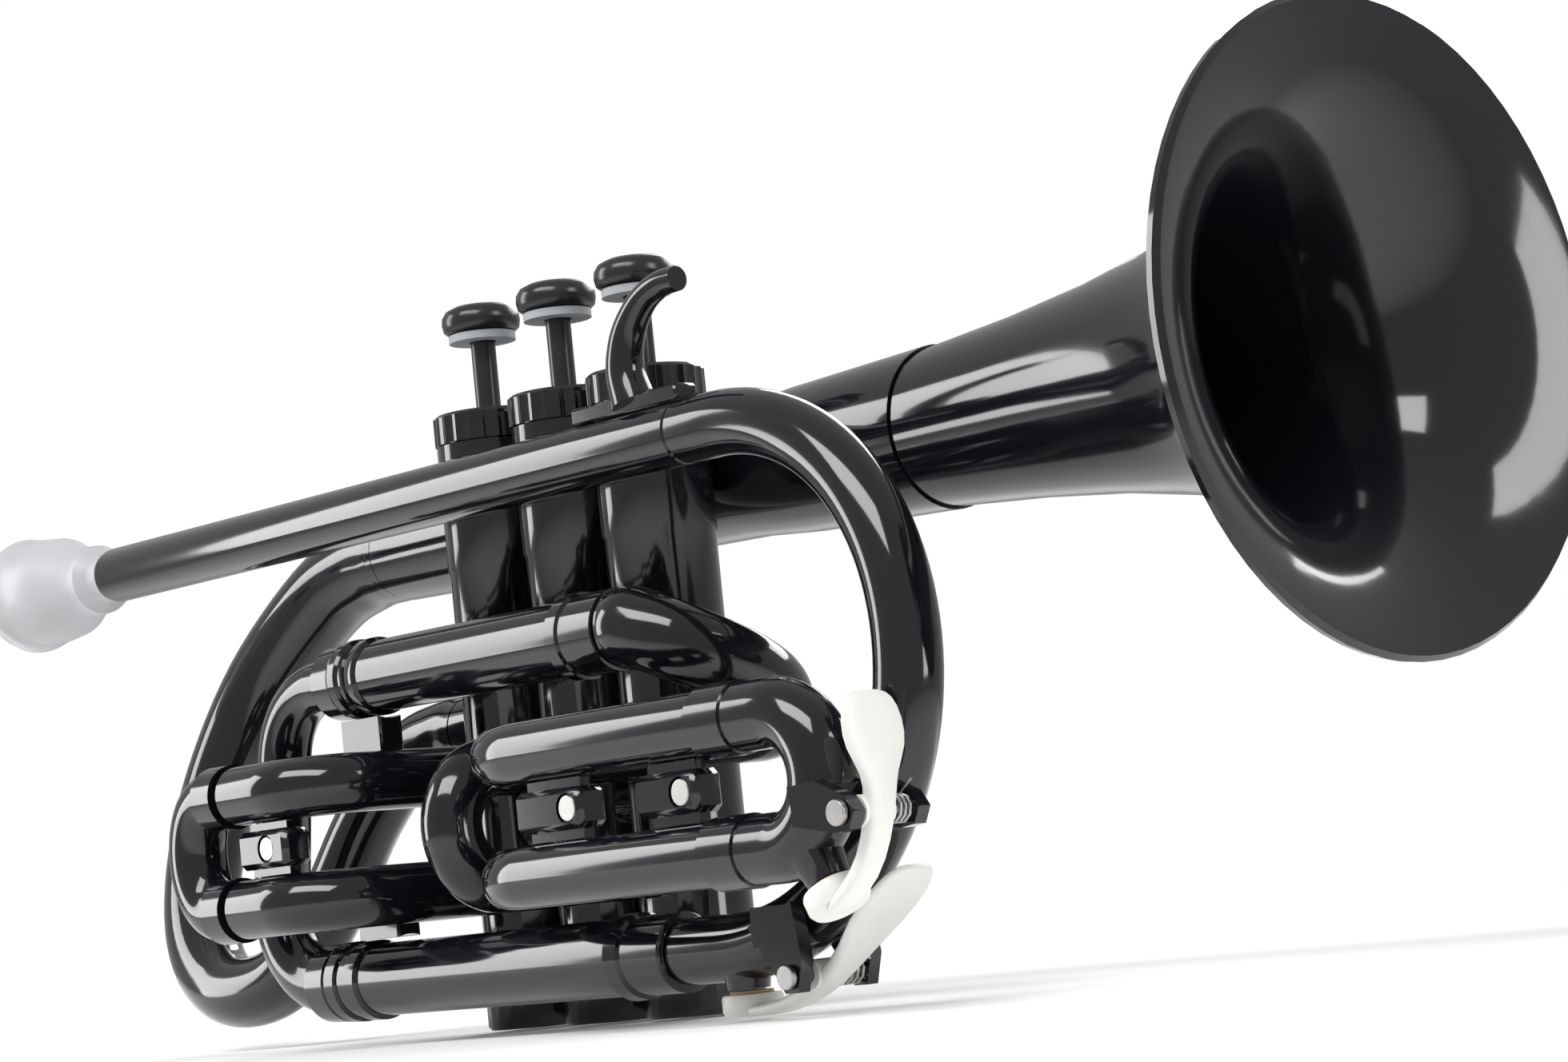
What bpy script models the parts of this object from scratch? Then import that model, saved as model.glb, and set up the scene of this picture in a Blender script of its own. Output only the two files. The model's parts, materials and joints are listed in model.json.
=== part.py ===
"""A plastic cornet with three piston valves, at its real size.

Lengths below are millimetres in the instrument's own layout: x runs from the
mouthpiece towards the bell, y towards the player's left, z up along the valves.
The layout's zero is on the second valve's axis at the height of the leadpipe.
spot() turns such a place into metres in the part's frame, whose origin is under
the middle of the object, on the surface that it stands on.
"""

import math

import bmesh
import bpy
from mathutils import Vector

MM = 0.001
SHIFT = Vector((-6.3, -10.25, 114.0))

# Valves
VALVE_X = (-26.6, 0.0, 26.6)
CASING_R = 11.7
COLLAR_R = 12.1
CASING_BORE_R = 9.7
PISTON_R = 9.4
STEM_R = 2.7
CAP_R = 12.5
BUTTON_R = 8.6
BUTTON_REST_Z = 37.2
CAP_TOP_Z = 19.3
FOOT_Z = -114.0

# Tubes: centre heights, offsets to the player's right, outer radii
LEAD_Y = -23.25
LEAD_R = 6.4
LOOP_Y = -30.2
UPPER_Z = -36.6
LOWER_Z = -100.7
LOOP_TUBE_R = 7.7
BOW_BEND_R = 50.35
BOW_BEND_X = 73.3
BOW_R = 6.5
MAIN_LEG_R = (5.7, 6.4)
THIRD_Y = -56.4
THIRD_Z = (-59.6, -83.5)
THIRD_R = 6.0
FIRST_Y = -55.4
FIRST_Z = (-59.2, -83.2)
FIRST_R = 6.3
SECOND_Z = (-59.4, -83.2)
ENTRY_Z = -57.0
RETURN_Z = -48.5

# Bell
BELL_Y = 26.7
BELL_Z = -2.0
BELL_TAIL_X = -97.0
BELL_SEAM_X = 87.0
BELL_RIM_X = 197.1
BELL_RIM_R = 59.2
BELL_WALL = 1.8

# Water keys: pivot places
SLIDE_KEY = (143.0, -56.4, -79.0)
BOW_KEY = (97.0, -29.2, -106.8)

for old in list(bpy.data.objects):
    bpy.data.objects.remove(old, do_unlink=True)

parts = bpy.data.collections.new("cornet")
cutters = bpy.data.collections.new("cutters")
bpy.context.scene.collection.children.link(parts)
bpy.context.scene.collection.children.link(cutters)


def finish_of(name, colour, roughness, metallic=0.0):
    material = bpy.data.materials.new(name)
    material.use_nodes = True
    shader = material.node_tree.nodes["Principled BSDF"]
    shader.inputs["Base Color"].default_value = (*colour, 1.0)
    shader.inputs["Roughness"].default_value = roughness
    shader.inputs["Metallic"].default_value = metallic
    return material


BLACK = ((0.012, 0.012, 0.016), 0.12)
BUTTON_BLACK = ((0.02, 0.02, 0.022), 0.25)
CLEAR = ((0.86, 0.87, 0.88), 0.3)
WHITE = ((0.82, 0.82, 0.79), 0.35)
GREY_PAD = ((0.55, 0.56, 0.57), 0.6)
STEEL = ((0.6, 0.6, 0.61), 0.3, 1.0)
CORK = ((0.55, 0.38, 0.22), 0.9)


def spot(x, y, z):
    return (Vector((x, y, z)) + SHIFT) * MM


def place(name, mesh, finish, at):
    obj = bpy.data.objects.new(name, mesh)
    obj.location = spot(*at)
    if finish is None:
        cutters.objects.link(obj)
        obj.hide_render = True
        obj.display_type = "WIRE"
    else:
        parts.objects.link(obj)
        mesh.materials.append(finish_of(name, *finish))
    return obj


def turned(name, profile, finish, at, sides=16, axis="Z", ring=True):
    """Turns (radius, height) pairs that run down the outside and up the inside.

    A ring profile closes on itself; any other starts and ends on the axis.
    """
    mesh = bpy.data.meshes.new(name)
    count = len(profile)
    edges = [(i, i + 1) for i in range(count - 1)]
    if ring:
        edges.append((count - 1, 0))
    mesh.from_pydata([(r * MM, 0.0, h * MM) for r, h in profile], edges, [])
    obj = place(name, mesh, finish, at)
    if axis == "X":
        obj.rotation_euler = (0.0, math.pi / 2, 0.0)
    elif axis == "-Y":
        obj.rotation_euler = (math.pi / 2, 0.0, 0.0)
    turn = obj.modifiers.new("turn", "SCREW")
    turn.steps = sides
    turn.render_steps = sides
    turn.use_merge_vertices = True
    turn.merge_threshold = 0.00002
    turn.use_smooth_shade = True
    return obj


def rod(name, radius, start, end, finish=None, sides=16):
    """A round bar from start to end, as one primitive cylinder."""
    a, b = Vector(start), Vector(end)
    mesh = bpy.data.meshes.new(name)
    form = bmesh.new()
    bmesh.ops.create_cone(
        form, cap_ends=True, segments=sides, radius1=radius * MM,
        radius2=radius * MM, depth=(b - a).length * MM,
    )
    form.to_mesh(mesh)
    form.free()
    obj = place(name, mesh, finish, (a + b) / 2)
    obj.rotation_mode = "QUATERNION"
    obj.rotation_quaternion = Vector((0, 0, 1)).rotation_difference(b - a)
    return obj


def block(name, low, high, finish=None, round_by=0.0):
    a, b = Vector(low), Vector(high)
    mesh = bpy.data.meshes.new(name)
    form = bmesh.new()
    bmesh.ops.create_cube(form, size=MM)
    bmesh.ops.scale(form, vec=b - a, verts=form.verts)
    if round_by:
        bmesh.ops.bevel(
            form, geom=form.edges[:], offset=round_by * MM, segments=1,
            affect="EDGES", profile=0.5,
        )
    form.to_mesh(mesh)
    form.free()
    return place(name, mesh, finish, (a + b) / 2)


def plate(name, outline, low_y, high_y, finish=None):
    """A flat plate in the x-z plane: the outline, given clockwise or not, thickened along y."""
    mesh = bpy.data.meshes.new(name)
    form = bmesh.new()
    first = Vector((outline[0][0], low_y, outline[0][1]))
    corners = [
        form.verts.new((Vector((x, low_y, z)) - first) * MM) for x, z in outline
    ]
    face = form.faces.new(corners)
    grown = bmesh.ops.extrude_face_region(form, geom=[face])
    moved = [item for item in grown["geom"] if isinstance(item, bmesh.types.BMVert)]
    bmesh.ops.translate(form, vec=(0, (high_y - low_y) * MM, 0), verts=moved)
    bmesh.ops.recalc_face_normals(form, faces=form.faces[:])
    form.to_mesh(mesh)
    form.free()
    return place(name, mesh, finish, first)


def filleted(corners, radius, steps=8):
    """The corners joined by straight runs, each inner corner rounded to the radius."""
    path = [Vector(corners[0])]
    for before, corner, after in zip(corners, corners[1:], corners[2:]):
        corner = Vector(corner)
        back = (Vector(before) - corner).normalized()
        on = (Vector(after) - corner).normalized()
        half = back.angle(on) / 2
        reach = radius / math.tan(half)
        start = corner + back * reach
        middle = corner + (back + on).normalized() * (radius / math.sin(half))
        spoke = start - middle
        hub = back.cross(on).normalized()
        swing = -(math.pi - 2 * half)
        side = hub.cross(spoke)
        for step in range(steps + 1):
            angle = swing * step / steps
            path.append(middle + spoke * math.cos(angle) + side * math.sin(angle))
    path.append(Vector(corners[-1]))
    kept = [path[0]]
    for point in path[1:]:
        if (point - kept[-1]).length > 0.05:
            kept.append(point)
    return kept


def flowing(stations, each=3):
    """A Catmull-Rom curve through (x, y, z, radius) stations: its points and radii."""
    rows = [Vector(s) for s in stations]
    rows = [rows[0] * 2 - rows[1]] + rows + [rows[-1] * 2 - rows[-2]]
    found = []
    for a, b, c, d in zip(rows, rows[1:], rows[2:], rows[3:]):
        for step in range(each):
            t = step / each
            found.append(
                0.5 * (
                    2 * b + (c - a) * t + (2 * a - 5 * b + 4 * c - d) * t ** 2
                    + (3 * b - a - 3 * c + d) * t ** 3
                )
            )
    found.append(rows[-2])
    return [p.to_3d() for p in found], [p[3] for p in found]


def pipe(name, path, radius, finish, sides=12):
    """A solid round bar along the path; radius is one number, or one for each point."""
    path = [Vector(p) for p in path]
    radii = [radius] * len(path) if isinstance(radius, (int, float)) else radius
    curve = bpy.data.curves.new(name, "CURVE")
    curve.dimensions = "3D"
    curve.bevel_depth = MM
    curve.bevel_resolution = (sides - 4) // 2
    curve.use_fill_caps = True
    line = curve.splines.new("POLY")
    line.points.add(len(path) - 1)
    for point, where, size in zip(line.points, path, radii):
        point.co = (*((where - path[0]) * MM), 1.0)
        point.radius = size
    guide = bpy.data.objects.new(name + "_line", curve)
    bpy.context.scene.collection.objects.link(guide)
    bpy.context.view_layer.update()
    mesh = bpy.data.meshes.new_from_object(
        guide.evaluated_get(bpy.context.evaluated_depsgraph_get())
    )
    bpy.data.objects.remove(guide, do_unlink=True)
    form = bmesh.new()
    form.from_mesh(mesh)
    bmesh.ops.remove_doubles(form, verts=form.verts, dist=0.000001)
    bmesh.ops.recalc_face_normals(form, faces=form.faces[:])
    for face in form.faces:
        face.smooth = len(face.verts) <= 4
    form.to_mesh(mesh)
    form.free()
    mesh.materials.clear()
    return place(name, mesh, finish, path[0])


def cut(obj, *tools):
    for tool in tools:
        step = obj.modifiers.new("cut", "BOOLEAN")
        step.operation = "DIFFERENCE"
        step.solver = "EXACT"
        step.object = tool
    return obj


def join(obj, *tools):
    for tool in tools:
        step = obj.modifiers.new("join", "BOOLEAN")
        step.operation = "UNION"
        step.solver = "EXACT"
        step.object = tool
    return obj


def longer(path, by=2.0):
    """The path with both ends carried on straight, for a bore that cuts right through."""
    first = path[0] + (path[0] - path[1]).normalized() * by
    last = path[-1] + (path[-1] - path[-2]).normalized() * by
    return [first] + path[1:-1] + [last]


def hollow(name, path, radius, bore, finish, sides=12, bore_sides=8):
    body = pipe(name, path, radius, finish, sides)
    return cut(body, pipe(name + "_bore", longer(path), bore, None, bore_sides))


# Mouthpiece: a turned piece about the leadpipe's axis, its shank in the leadpipe
turned(
    "mouthpiece",
    [
        (4.7, 28.0), (5.1, 6.0), (5.2, 0.5), (5.9, -4.0), (8.2, -6.0), (8.4, -9.0),
        (7.2, -11.0), (7.8, -14.0), (10.5, -18.0), (12.2, -22.0), (12.8, -28.0),
        (12.6, -33.0), (13.7, -35.0), (14.0, -37.0), (13.2, -39.4), (11.2, -40.4),
        (9.2, -39.8), (8.3, -38.0), (8.0, -32.0), (6.6, -26.0), (3.8, -21.0),
        (1.9, -18.5), (1.9, -14.0), (3.6, 28.0),
    ],
    CLEAR, (-146.3, LEAD_Y, 0.0), sides=18, axis="X",
)

# Leadpipe: a straight tube with a rounded open mouth; the socket holds the shank
turned(
    "leadpipe",
    [
        (5.7, 64.9), (LEAD_R, 64.3), (LEAD_R, -144.6), (6.15, -145.8), (5.7, -146.0),
        (5.6, -145.6), (5.6, -116.0), (4.7, -114.0), (4.7, 64.9),
    ],
    BLACK, (0.0, LEAD_Y, 0.0), sides=16, axis="X",
)

# Front bow: half a circle from the leadpipe down and back to the lower tube
BOW_END_X = 59.0
bow_path = filleted(
    [
        (65.2, LEAD_Y, 0.0), (BOW_BEND_X + BOW_BEND_R, LEAD_Y, 0.0),
        (BOW_BEND_X + BOW_BEND_R, LOOP_Y, LOWER_Z), (BOW_END_X, LOOP_Y, LOWER_Z),
    ],
    BOW_BEND_R, steps=9,
)
bow_radii = [BOW_R - 0.1] + [BOW_R] * (len(bow_path) - 2) + [BOW_R]
bow = hollow("front_bow", bow_path, bow_radii, 5.0, BLACK, 12, 6)
kx, ky, kz = BOW_KEY
join(
    bow,
    block("bow_saddle", (86.0, -38.0, -101.0), (98.0, -21.0, -93.5)),
    plate(
        "bow_ear_near",
        [(86.5, -97.0), (99.0, -93.0), (100.6, -104.0), (98.8, -109.8), (95.4, -109.8), (92.5, -105.5)],
        -39.4, -36.4,
    ),
    plate(
        "bow_ear_far",
        [(86.5, -97.0), (99.0, -93.0), (100.6, -104.0), (98.8, -109.8), (95.4, -109.8), (92.5, -105.5)],
        -22.0, -19.2,
    ),
    turned("bow_nipple", [(0, 5), (5.2, 5), (4.2, -2.6), (0, -2.6)], None, (74.5, -29.9, -106.0), 12, "Z", False),
)
cut(
    bow,
    rod("bow_nipple_bore", 1.6, (74.5, -29.9, -112.0), (74.5, -29.9, -100.0), sides=8),
    rod("bow_key_bore", 1.35, (kx, -45.0, kz), (kx, -12.0, kz), sides=10),
)

# Lower and upper tubes of the main loop, with the collars that take the main slide
turned(
    "lower_tube",
    [
        (6.9, 58.4), (7.9, 57.8), (7.9, 46.6), (8.5, 46.0), (8.7, 42.4), (LOOP_TUBE_R, 41.6),
        (LOOP_TUBE_R, -41.6), (8.5, -42.2), (8.5, -45.6), (8.0, -46.2), (8.0, -49.0),
        (8.6, -49.4), (8.6, -52.6), (8.0, -53.2), (8.5, -53.8), (8.3, -60.4), (7.4, -61.0),
        (6.6, -60.6), (6.6, 30.0), (5.2, 31.0), (5.2, 58.4),
    ],
    BLACK, (0.0, LOOP_Y, LOWER_Z), sides=16, axis="X",
)
turned(
    "upper_tube",
    [
        (7.0, 47.9), (8.3, 47.4), (8.3, 37.4), (8.8, 37.0), (8.8, 33.8), (LOOP_TUBE_R, 33.2),
        (LOOP_TUBE_R, -32.6), (8.4, -33.2), (8.4, -35.4), (8.0, -36.0), (8.0, -38.8),
        (8.6, -39.4), (8.6, -41.6), (8.0, -42.0), (8.3, -42.4), (8.0, -48.6), (7.0, -49.2),
        (5.9, -48.8), (5.9, 47.9),
    ],
    BLACK, (0.0, LOOP_Y, UPPER_Z), sides=16, axis="X",
)

# Main tuning slide: two legs of unlike bore and the bow that joins them
main_path = filleted(
    [(-20.0, LOOP_Y, UPPER_Z), (-69.5, LOOP_Y, UPPER_Z), (-81.5, LOOP_Y, LOWER_Z), (-22.0, LOOP_Y, LOWER_Z)],
    17.0, steps=7,
)
main_radii = [
    MAIN_LEG_R[0] + (MAIN_LEG_R[1] - MAIN_LEG_R[0]) * min(1.0, max(0.0, (UPPER_Z - p.z) / (UPPER_Z - LOWER_Z)))
    for p in main_path
]
hollow("main_slide", main_path, main_radii, 4.7, BLACK, 12, 6)

# Entry elbow: from the upper tube round the front of the third valve
ELBOW_BEND_R = -LOOP_Y / 2
ELBOW_REACH = 11.0
elbow = [(48.4, LOOP_Y, UPPER_Z, 7.9), (50.0, LOOP_Y, UPPER_Z, 7.9), (52.0, LOOP_Y, UPPER_Z - 0.2, 8.0)]
for step in range(1, 7):
    turn_angle = math.pi * step / 6 - math.pi / 2
    elbow.append((
        54.0 + ELBOW_REACH * math.cos(turn_angle),
        -ELBOW_BEND_R + ELBOW_BEND_R * math.sin(turn_angle),
        UPPER_Z + (ENTRY_Z - UPPER_Z) * step / 6,
        8.0 - 0.1 * step,
    ))
elbow.append((42.5, 0.0, ENTRY_Z, 7.3))
elbow_path, elbow_radii = flowing(elbow, 2)
hollow("entry_elbow", elbow_path, elbow_radii, 5.2, BLACK, 12, 6)

# Rear loop: the bell's tail swings back, down and forward into the first valve
rear_path, rear_radii = flowing([
    (BELL_TAIL_X - 0.4, BELL_Y, BELL_Z, 11.1), (-99.0, BELL_Y, BELL_Z, 11.1), (-101.0, BELL_Y, BELL_Z, 11.1), (-112.0, 26.4, -3.0, 10.9), (-128.0, 24.0, -9.0, 10.5),
    (-146.4, 17.2, -27.0, 10.0), (-155.0, 8.2, -50.0, 9.5), (-154.0, -0.6, -72.0, 9.1),
    (-145.0, -7.8, -90.0, 8.7), (-128.5, -11.8, -100.4, 8.3), (-108.0, -11.0, -98.6, 8.0),
    (-92.5, -8.0, -85.0, 7.8), (-79.5, -4.0, -65.5, 7.6), (-65.0, -1.0, -52.0, 7.5),
    (-52.0, 0.0, RETURN_Z, 7.4), (-45.5, 0.0, RETURN_Z, 7.3), (-42.9, 0.0, RETURN_Z, 7.3),
], 2)
hollow("rear_loop", rear_path, rear_radii, [r - 1.9 for r in rear_radii], BLACK, 14, 6)

# Bell: a straight taper, then a flare that follows a power law up to its rolled rim
FLARE_REACH = 8.0
FLARE_POWER = 0.48


def flare_radius(x):
    return BELL_RIM_R * (FLARE_REACH / (BELL_RIM_X + FLARE_REACH - x)) ** FLARE_POWER


throat = [(16.8, BELL_SEAM_X - 0.2), (15.4, 46.0), (14.1, 30.0), (12.6, -40.0), (11.2, BELL_TAIL_X)]
turned(
    "bell_throat", throat + [(r - BELL_WALL, x) for r, x in reversed(throat)],
    BLACK, (0.0, BELL_Y, BELL_Z), sides=16, axis="X",
)
flare_x = [196.2, 194.5, 192.0, 188.0, 183.0, 176.0, 166.0, 152.0, 134.0, 112.0, BELL_SEAM_X + 0.3]
outer = [(flare_radius(x), x) for x in flare_x]
inner = []
for index, (r, x) in enumerate(outer):
    before = outer[max(index - 1, 0)]
    after = outer[min(index + 1, len(outer) - 1)]
    slope = Vector((before[0] - after[0], before[1] - after[1])).normalized()
    inner.append((r - slope.y * BELL_WALL, x + slope.x * BELL_WALL))
inner[-1] = (outer[-1][0] - BELL_WALL, outer[-1][1])
bead = [(58.5, 199.0), (59.6, 199.3), (60.6, 198.2), (60.4, 196.8), (59.0, 196.2)]
turned(
    "bell_flare", bead + outer[1:] + list(reversed(inner[1:])),
    BLACK, (0.0, BELL_Y, BELL_Z), sides=24, axis="X",
)

# Valve casings, with their short port sockets
CAP_JOIN_Z = 12.4
for number, valve_x in enumerate(VALVE_X, 1):
    name = "valve_casing_%d" % number
    casing = turned(
        name,
        [
            (0, 16.2), (10.5, 16.2), (10.5, CAP_JOIN_Z), (COLLAR_R, CAP_JOIN_Z), (COLLAR_R, -14.6),
            (CASING_R, -15.4), (CASING_R, -102.4), (10.5, -102.4), (10.5, -108.0), (0, -108.0),
        ],
        BLACK, (valve_x, 0.0, 0.0), 16, "Z", False,
    )
    sockets = {
        1: [("return", (-1, 0), RETURN_Z, 7.3, 15.8)] + [("slide_%d" % i, (0, -1), z, FIRST_R, 13.6) for i, z in enumerate(FIRST_Z)],
        2: [("slide_%d" % i, (0, -1), z, FIRST_R, 24.0) for i, z in enumerate(SECOND_Z)]
        + [("knuckle_%d" % s, (s, 0), -70.0, 6.0, VALVE_X[2] - 6.0) for s in (-1, 1)],
        3: [("entry", (1, 0), ENTRY_Z, 7.3, 15.6)] + [("slide_%d" % i, (0, -1), z, THIRD_R, 13.6) for i, z in enumerate(THIRD_Z)],
    }[number]
    bores = []
    for tag, (dx, dy), z, radius, reach in sockets:
        start, end = (valve_x + dx * 4.0, dy * 4.0, z), (valve_x + dx * reach, dy * reach, z)
        join(casing, rod(name + "_" + tag, radius, start, end, sides=16))
        past = (valve_x + dx * (reach + 4.0), dy * (reach + 4.0), z)
        bores.append(rod(name + "_" + tag + "_bore", 5.15, (valve_x, 0.0, z), past, sides=12))
    if number == 2:
        for side_x in (VALVE_X[0], VALVE_X[2]):
            cut(casing, rod("%s_relief_%d" % (name, side_x), CASING_R + 0.3, (side_x, 0, -90), (side_x, 0, -40), sides=16))
        bores = bores[:2]
    cut(casing, rod(name + "_bore", CASING_BORE_R, (valve_x, 0, -120), (valve_x, 0, 30), sides=16), *bores)


def knurled(name, profile, valve_x, ribs=12, depth=0.6):
    """A turned cap whose outer wall is drawn in at every second step, which makes grip ribs."""
    obj = turned(name, profile, BLACK, (valve_x, 0.0, 0.0), ribs * 2)
    bpy.context.view_layer.update()
    mesh = bpy.data.meshes.new_from_object(obj.evaluated_get(bpy.context.evaluated_depsgraph_get()))
    obj.modifiers.clear()
    obj.data = mesh
    for vertex in mesh.vertices:
        radius = math.hypot(vertex.co.x, vertex.co.y) / MM
        step = round(math.atan2(vertex.co.y, vertex.co.x) / (math.pi / ribs))
        if radius > CAP_R - 0.1 and step % 2:
            vertex.co.x *= 1 - depth / radius
            vertex.co.y *= 1 - depth / radius
    return obj


for number, valve_x in enumerate(VALVE_X, 1):
    knurled(
        "top_cap_%d" % number,
        [(11.6, CAP_TOP_Z), (CAP_R, 18.6), (CAP_R, 12.8), (10.9, 12.8), (10.9, 16.6), (3.0, 16.6), (3.0, CAP_TOP_Z)],
        valve_x,
    )
    knurled(
        "bottom_cap_%d" % number,
        [(10.9, -103.0), (CAP_R, -103.0), (CAP_R, -113.2), (11.7, FOOT_Z), (1.6, FOOT_Z), (1.6, -111.9), (10.9, -111.9)],
        valve_x,
    )
    # The piston is one piece with its stem and the plate that its spring pushes
    piston = turned(
        "piston_%d" % number,
        [
            (0, 40.4), (STEM_R, 40.4), (STEM_R, 11.2), (6.4, 11.2), (6.4, 8.8), (STEM_R, 8.8),
            (STEM_R, -30.0), (PISTON_R, -30.0), (PISTON_R, -94.5), (0, -94.5),
        ],
        BLACK, (valve_x, 0.0, 0.0), 16, "Z", False,
    )
    cut(
        piston,
        rod("piston_%d_hole_b" % number, 4.6, (valve_x - 14, 0, -57.0), (valve_x + 14, 0, -57.0), sides=8),
        rod("piston_%d_hole_d" % number, 6.5, (valve_x, 0, -98), (valve_x, 0, -80.0), sides=12),
    )
    turned(
        "button_%d" % number,
        [
            (0, 43.5), (5.6, 43.1), (7.6, 42.2), (8.5, 40.8), (BUTTON_R, 39.4), (8.3, 37.9),
            (7.5, BUTTON_REST_Z), (3.0, BUTTON_REST_Z), (3.0, 40.8), (0, 40.8),
        ],
        BUTTON_BLACK, (valve_x, 0.0, 0.0), 18, "Z", False,
    )
    turned(
        "button_pad_%d" % number, [(7.3, 36.9), (7.3, 35.2), (3.0, 35.2), (3.0, 36.9)],
        GREY_PAD, (valve_x, 0.0, 0.0), 16,
    )
    turned(
        "valve_guide_%d" % number, [(9.4, -23.6), (9.4, -26.0), (3.0, -26.0), (3.0, -23.6)],
        WHITE, (valve_x, 0.0, 0.0), 16,
    )
    turned(
        "valve_spring_%d" % number, [(5.4, 8.4), (5.4, -23.2), (4.2, -23.2), (4.2, 8.4)],
        STEEL, (valve_x, 0.0, 0.0), 12,
    )

# First slide: its bow draws back towards the mouthpiece
for tag, z in zip(("upper", "lower"), FIRST_Z):
    path = filleted([(VALVE_X[0], -13.9, z), (VALVE_X[0], FIRST_Y, z), (-53.0, FIRST_Y, z)], 14.0, steps=6)
    hollow("first_tube_" + tag, path, FIRST_R, 5.15, BLACK, 12, 12)


def slide_bow(name, out, y, heights, depth, start, collar, collar_end, bend_x, radii, finish=BLACK):
    """A U with two thin legs, two collars and a bend; out is +1 or -1 along x."""
    leg_r, collar_r, bend_r = radii
    high, low = heights
    bend = (high - low) / 2
    top = [(start, leg_r), (collar, leg_r), (collar + out * 0.1, collar_r), (collar_end, collar_r), (collar_end + out * 0.1, bend_r)]
    path = [Vector((x, y, high)) for x, _ in top]
    sizes = [r for _, r in top]
    middle_z = (high + low) / 2
    for step in range(0, 9):
        angle = math.pi / 2 - math.pi * step / 8
        path.append(Vector((bend_x + out * depth * math.cos(angle), y, middle_z + bend * math.sin(angle))))
        sizes.append(bend_r)
    path += [Vector((x, y, low)) for x, _ in reversed(top)]
    sizes += [r for _, r in reversed(top)]
    body = pipe(name, path, sizes, finish, 12)
    inner_path = [path[0]] + path[5:-5] + [path[-1]]
    return cut(body, pipe(name + "_bore", longer(inner_path), leg_r - 0.9, None, 6))


slide_bow(
    "first_slide", -1, FIRST_Y, FIRST_Z, 8.6, -41.0, -55.0, -62.0, -62.4, (4.8, 6.9, 6.2),
)

# Second slide: a short bow between the two sockets of the second valve
second_path = filleted(
    [(0.0, -13.0, SECOND_Z[0]), (0.0, -40.4, SECOND_Z[0]), (0.0, -40.4, SECOND_Z[1]), (0.0, -13.0, SECOND_Z[1])],
    11.85, steps=7,
)
second_path.insert(1, Vector((0.0, -24.3, SECOND_Z[0])))
second_path.insert(2, Vector((0.0, -24.4, SECOND_Z[0])))
second_path.insert(-1, Vector((0.0, -24.4, SECOND_Z[1])))
second_path.insert(-1, Vector((0.0, -24.3, SECOND_Z[1])))
second_radii = [4.8, 4.8] + [6.3] * (len(second_path) - 4) + [4.8, 4.8]
second = pipe("second_slide", second_path, second_radii, BLACK, 12)
cut(second, pipe("second_slide_bore", longer([second_path[0]] + second_path[3:-3] + [second_path[-1]]), 3.9, None, 6))

# Third slide: its bow draws forward and carries a water key
for tag, z in zip(("upper", "lower"), THIRD_Z):
    path = filleted([(VALVE_X[2], -13.9, z), (VALVE_X[2], THIRD_Y, z), (101.0, THIRD_Y, z)], 19.0, steps=7)
    hollow("third_tube_" + tag, path, THIRD_R, 5.0, BLACK, 12, 12)
third = slide_bow(
    "third_slide", 1, THIRD_Y, THIRD_Z, 12.0, 64.0, 101.3, 110.8, 118.0, (4.7, 6.8, 6.4),
)
px, py, pz = SLIDE_KEY
ear = [(130.0, -73.5), (137.0, -73.0), (144.4, -76.2), (146.4, -79.0), (144.8, -82.0), (141.6, -82.4), (131.0, -80.5)]
join(
    third,
    block("slide_saddle", (129.0, -64.0, -80.5), (136.5, -48.6, -73.8)),
    plate("slide_ear_near", ear, -65.4, -62.6),
    plate("slide_ear_far", ear, -50.0, -47.2),
    turned("slide_nipple", [(0, 6), (5.0, 6), (4.0, 0), (0, 0)], None, (129.0, THIRD_Y, -90.5), 12, "Z", False),
)
third.modifiers[-1].object.rotation_euler = (0.0, math.radians(-28.0), 0.0)
cut(
    third,
    rod("slide_key_bore", 1.35, (px, -72, pz), (px, -40, pz), sides=10),
    rod("slide_nipple_bore", 1.5, (126.0, THIRD_Y, -84.9), (131.2, THIRD_Y, -94.7), sides=8),
)


def water_key(name, pivot, half_width, arms, cup, cup_lean, cork_name):
    """A lever on its pivot: arms is a plate outline about the pivot; the cup is turned."""
    x, y, z = pivot
    body = plate(name, [(x + a, z + b) for a, b in arms], y - 1.8 - half_width, y - 1.8 + half_width, WHITE)
    hub = rod(name + "_hub", 2.8, (x, y - 5.6, z), (x, y + 1.4, z), sides=14)
    cx, cz = cup
    dome = turned(name + "_cup", [(0, 2.2), (5.9, 2.2), (5.9, -1.2), (4.8, -2.1), (0, -2.1)], None, (cx, y, cz), 16, "Z", False)
    dome.rotation_euler = (0.0, cup_lean, 0.0)
    join(body, hub, dome)
    cut(body, rod(name + "_bore", 1.35, (x, y - 12, z), (x, y + 12, z), sides=10))
    socket = turned(name + "_socket", [(0, 6.0), (4.6, 6.0), (4.6, 0.2), (0, 0.2)], None, (cx, y, cz), 14, "Z", False)
    socket.rotation_euler = (0.0, cup_lean, 0.0)
    cut(body, socket)
    cork = turned(cork_name, [(0, 2.9), (4.2, 2.9), (4.2, 0.5), (0, 0.5)], CORK, (cx, y, cz), 14, "Z", False)
    cork.rotation_euler = (0.0, cup_lean, 0.0)
    return body


def pivot_screw(name, pivot, near_y, far_y):
    x, _, z = pivot
    turned(
        name,
        [(0, 1.2), (2.3, 1.2), (2.3, 0.0), (1.15, 0.0), (1.15, near_y - far_y), (0, near_y - far_y)],
        STEEL, (x, near_y, z), 12, "-Y", False,
    )


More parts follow.
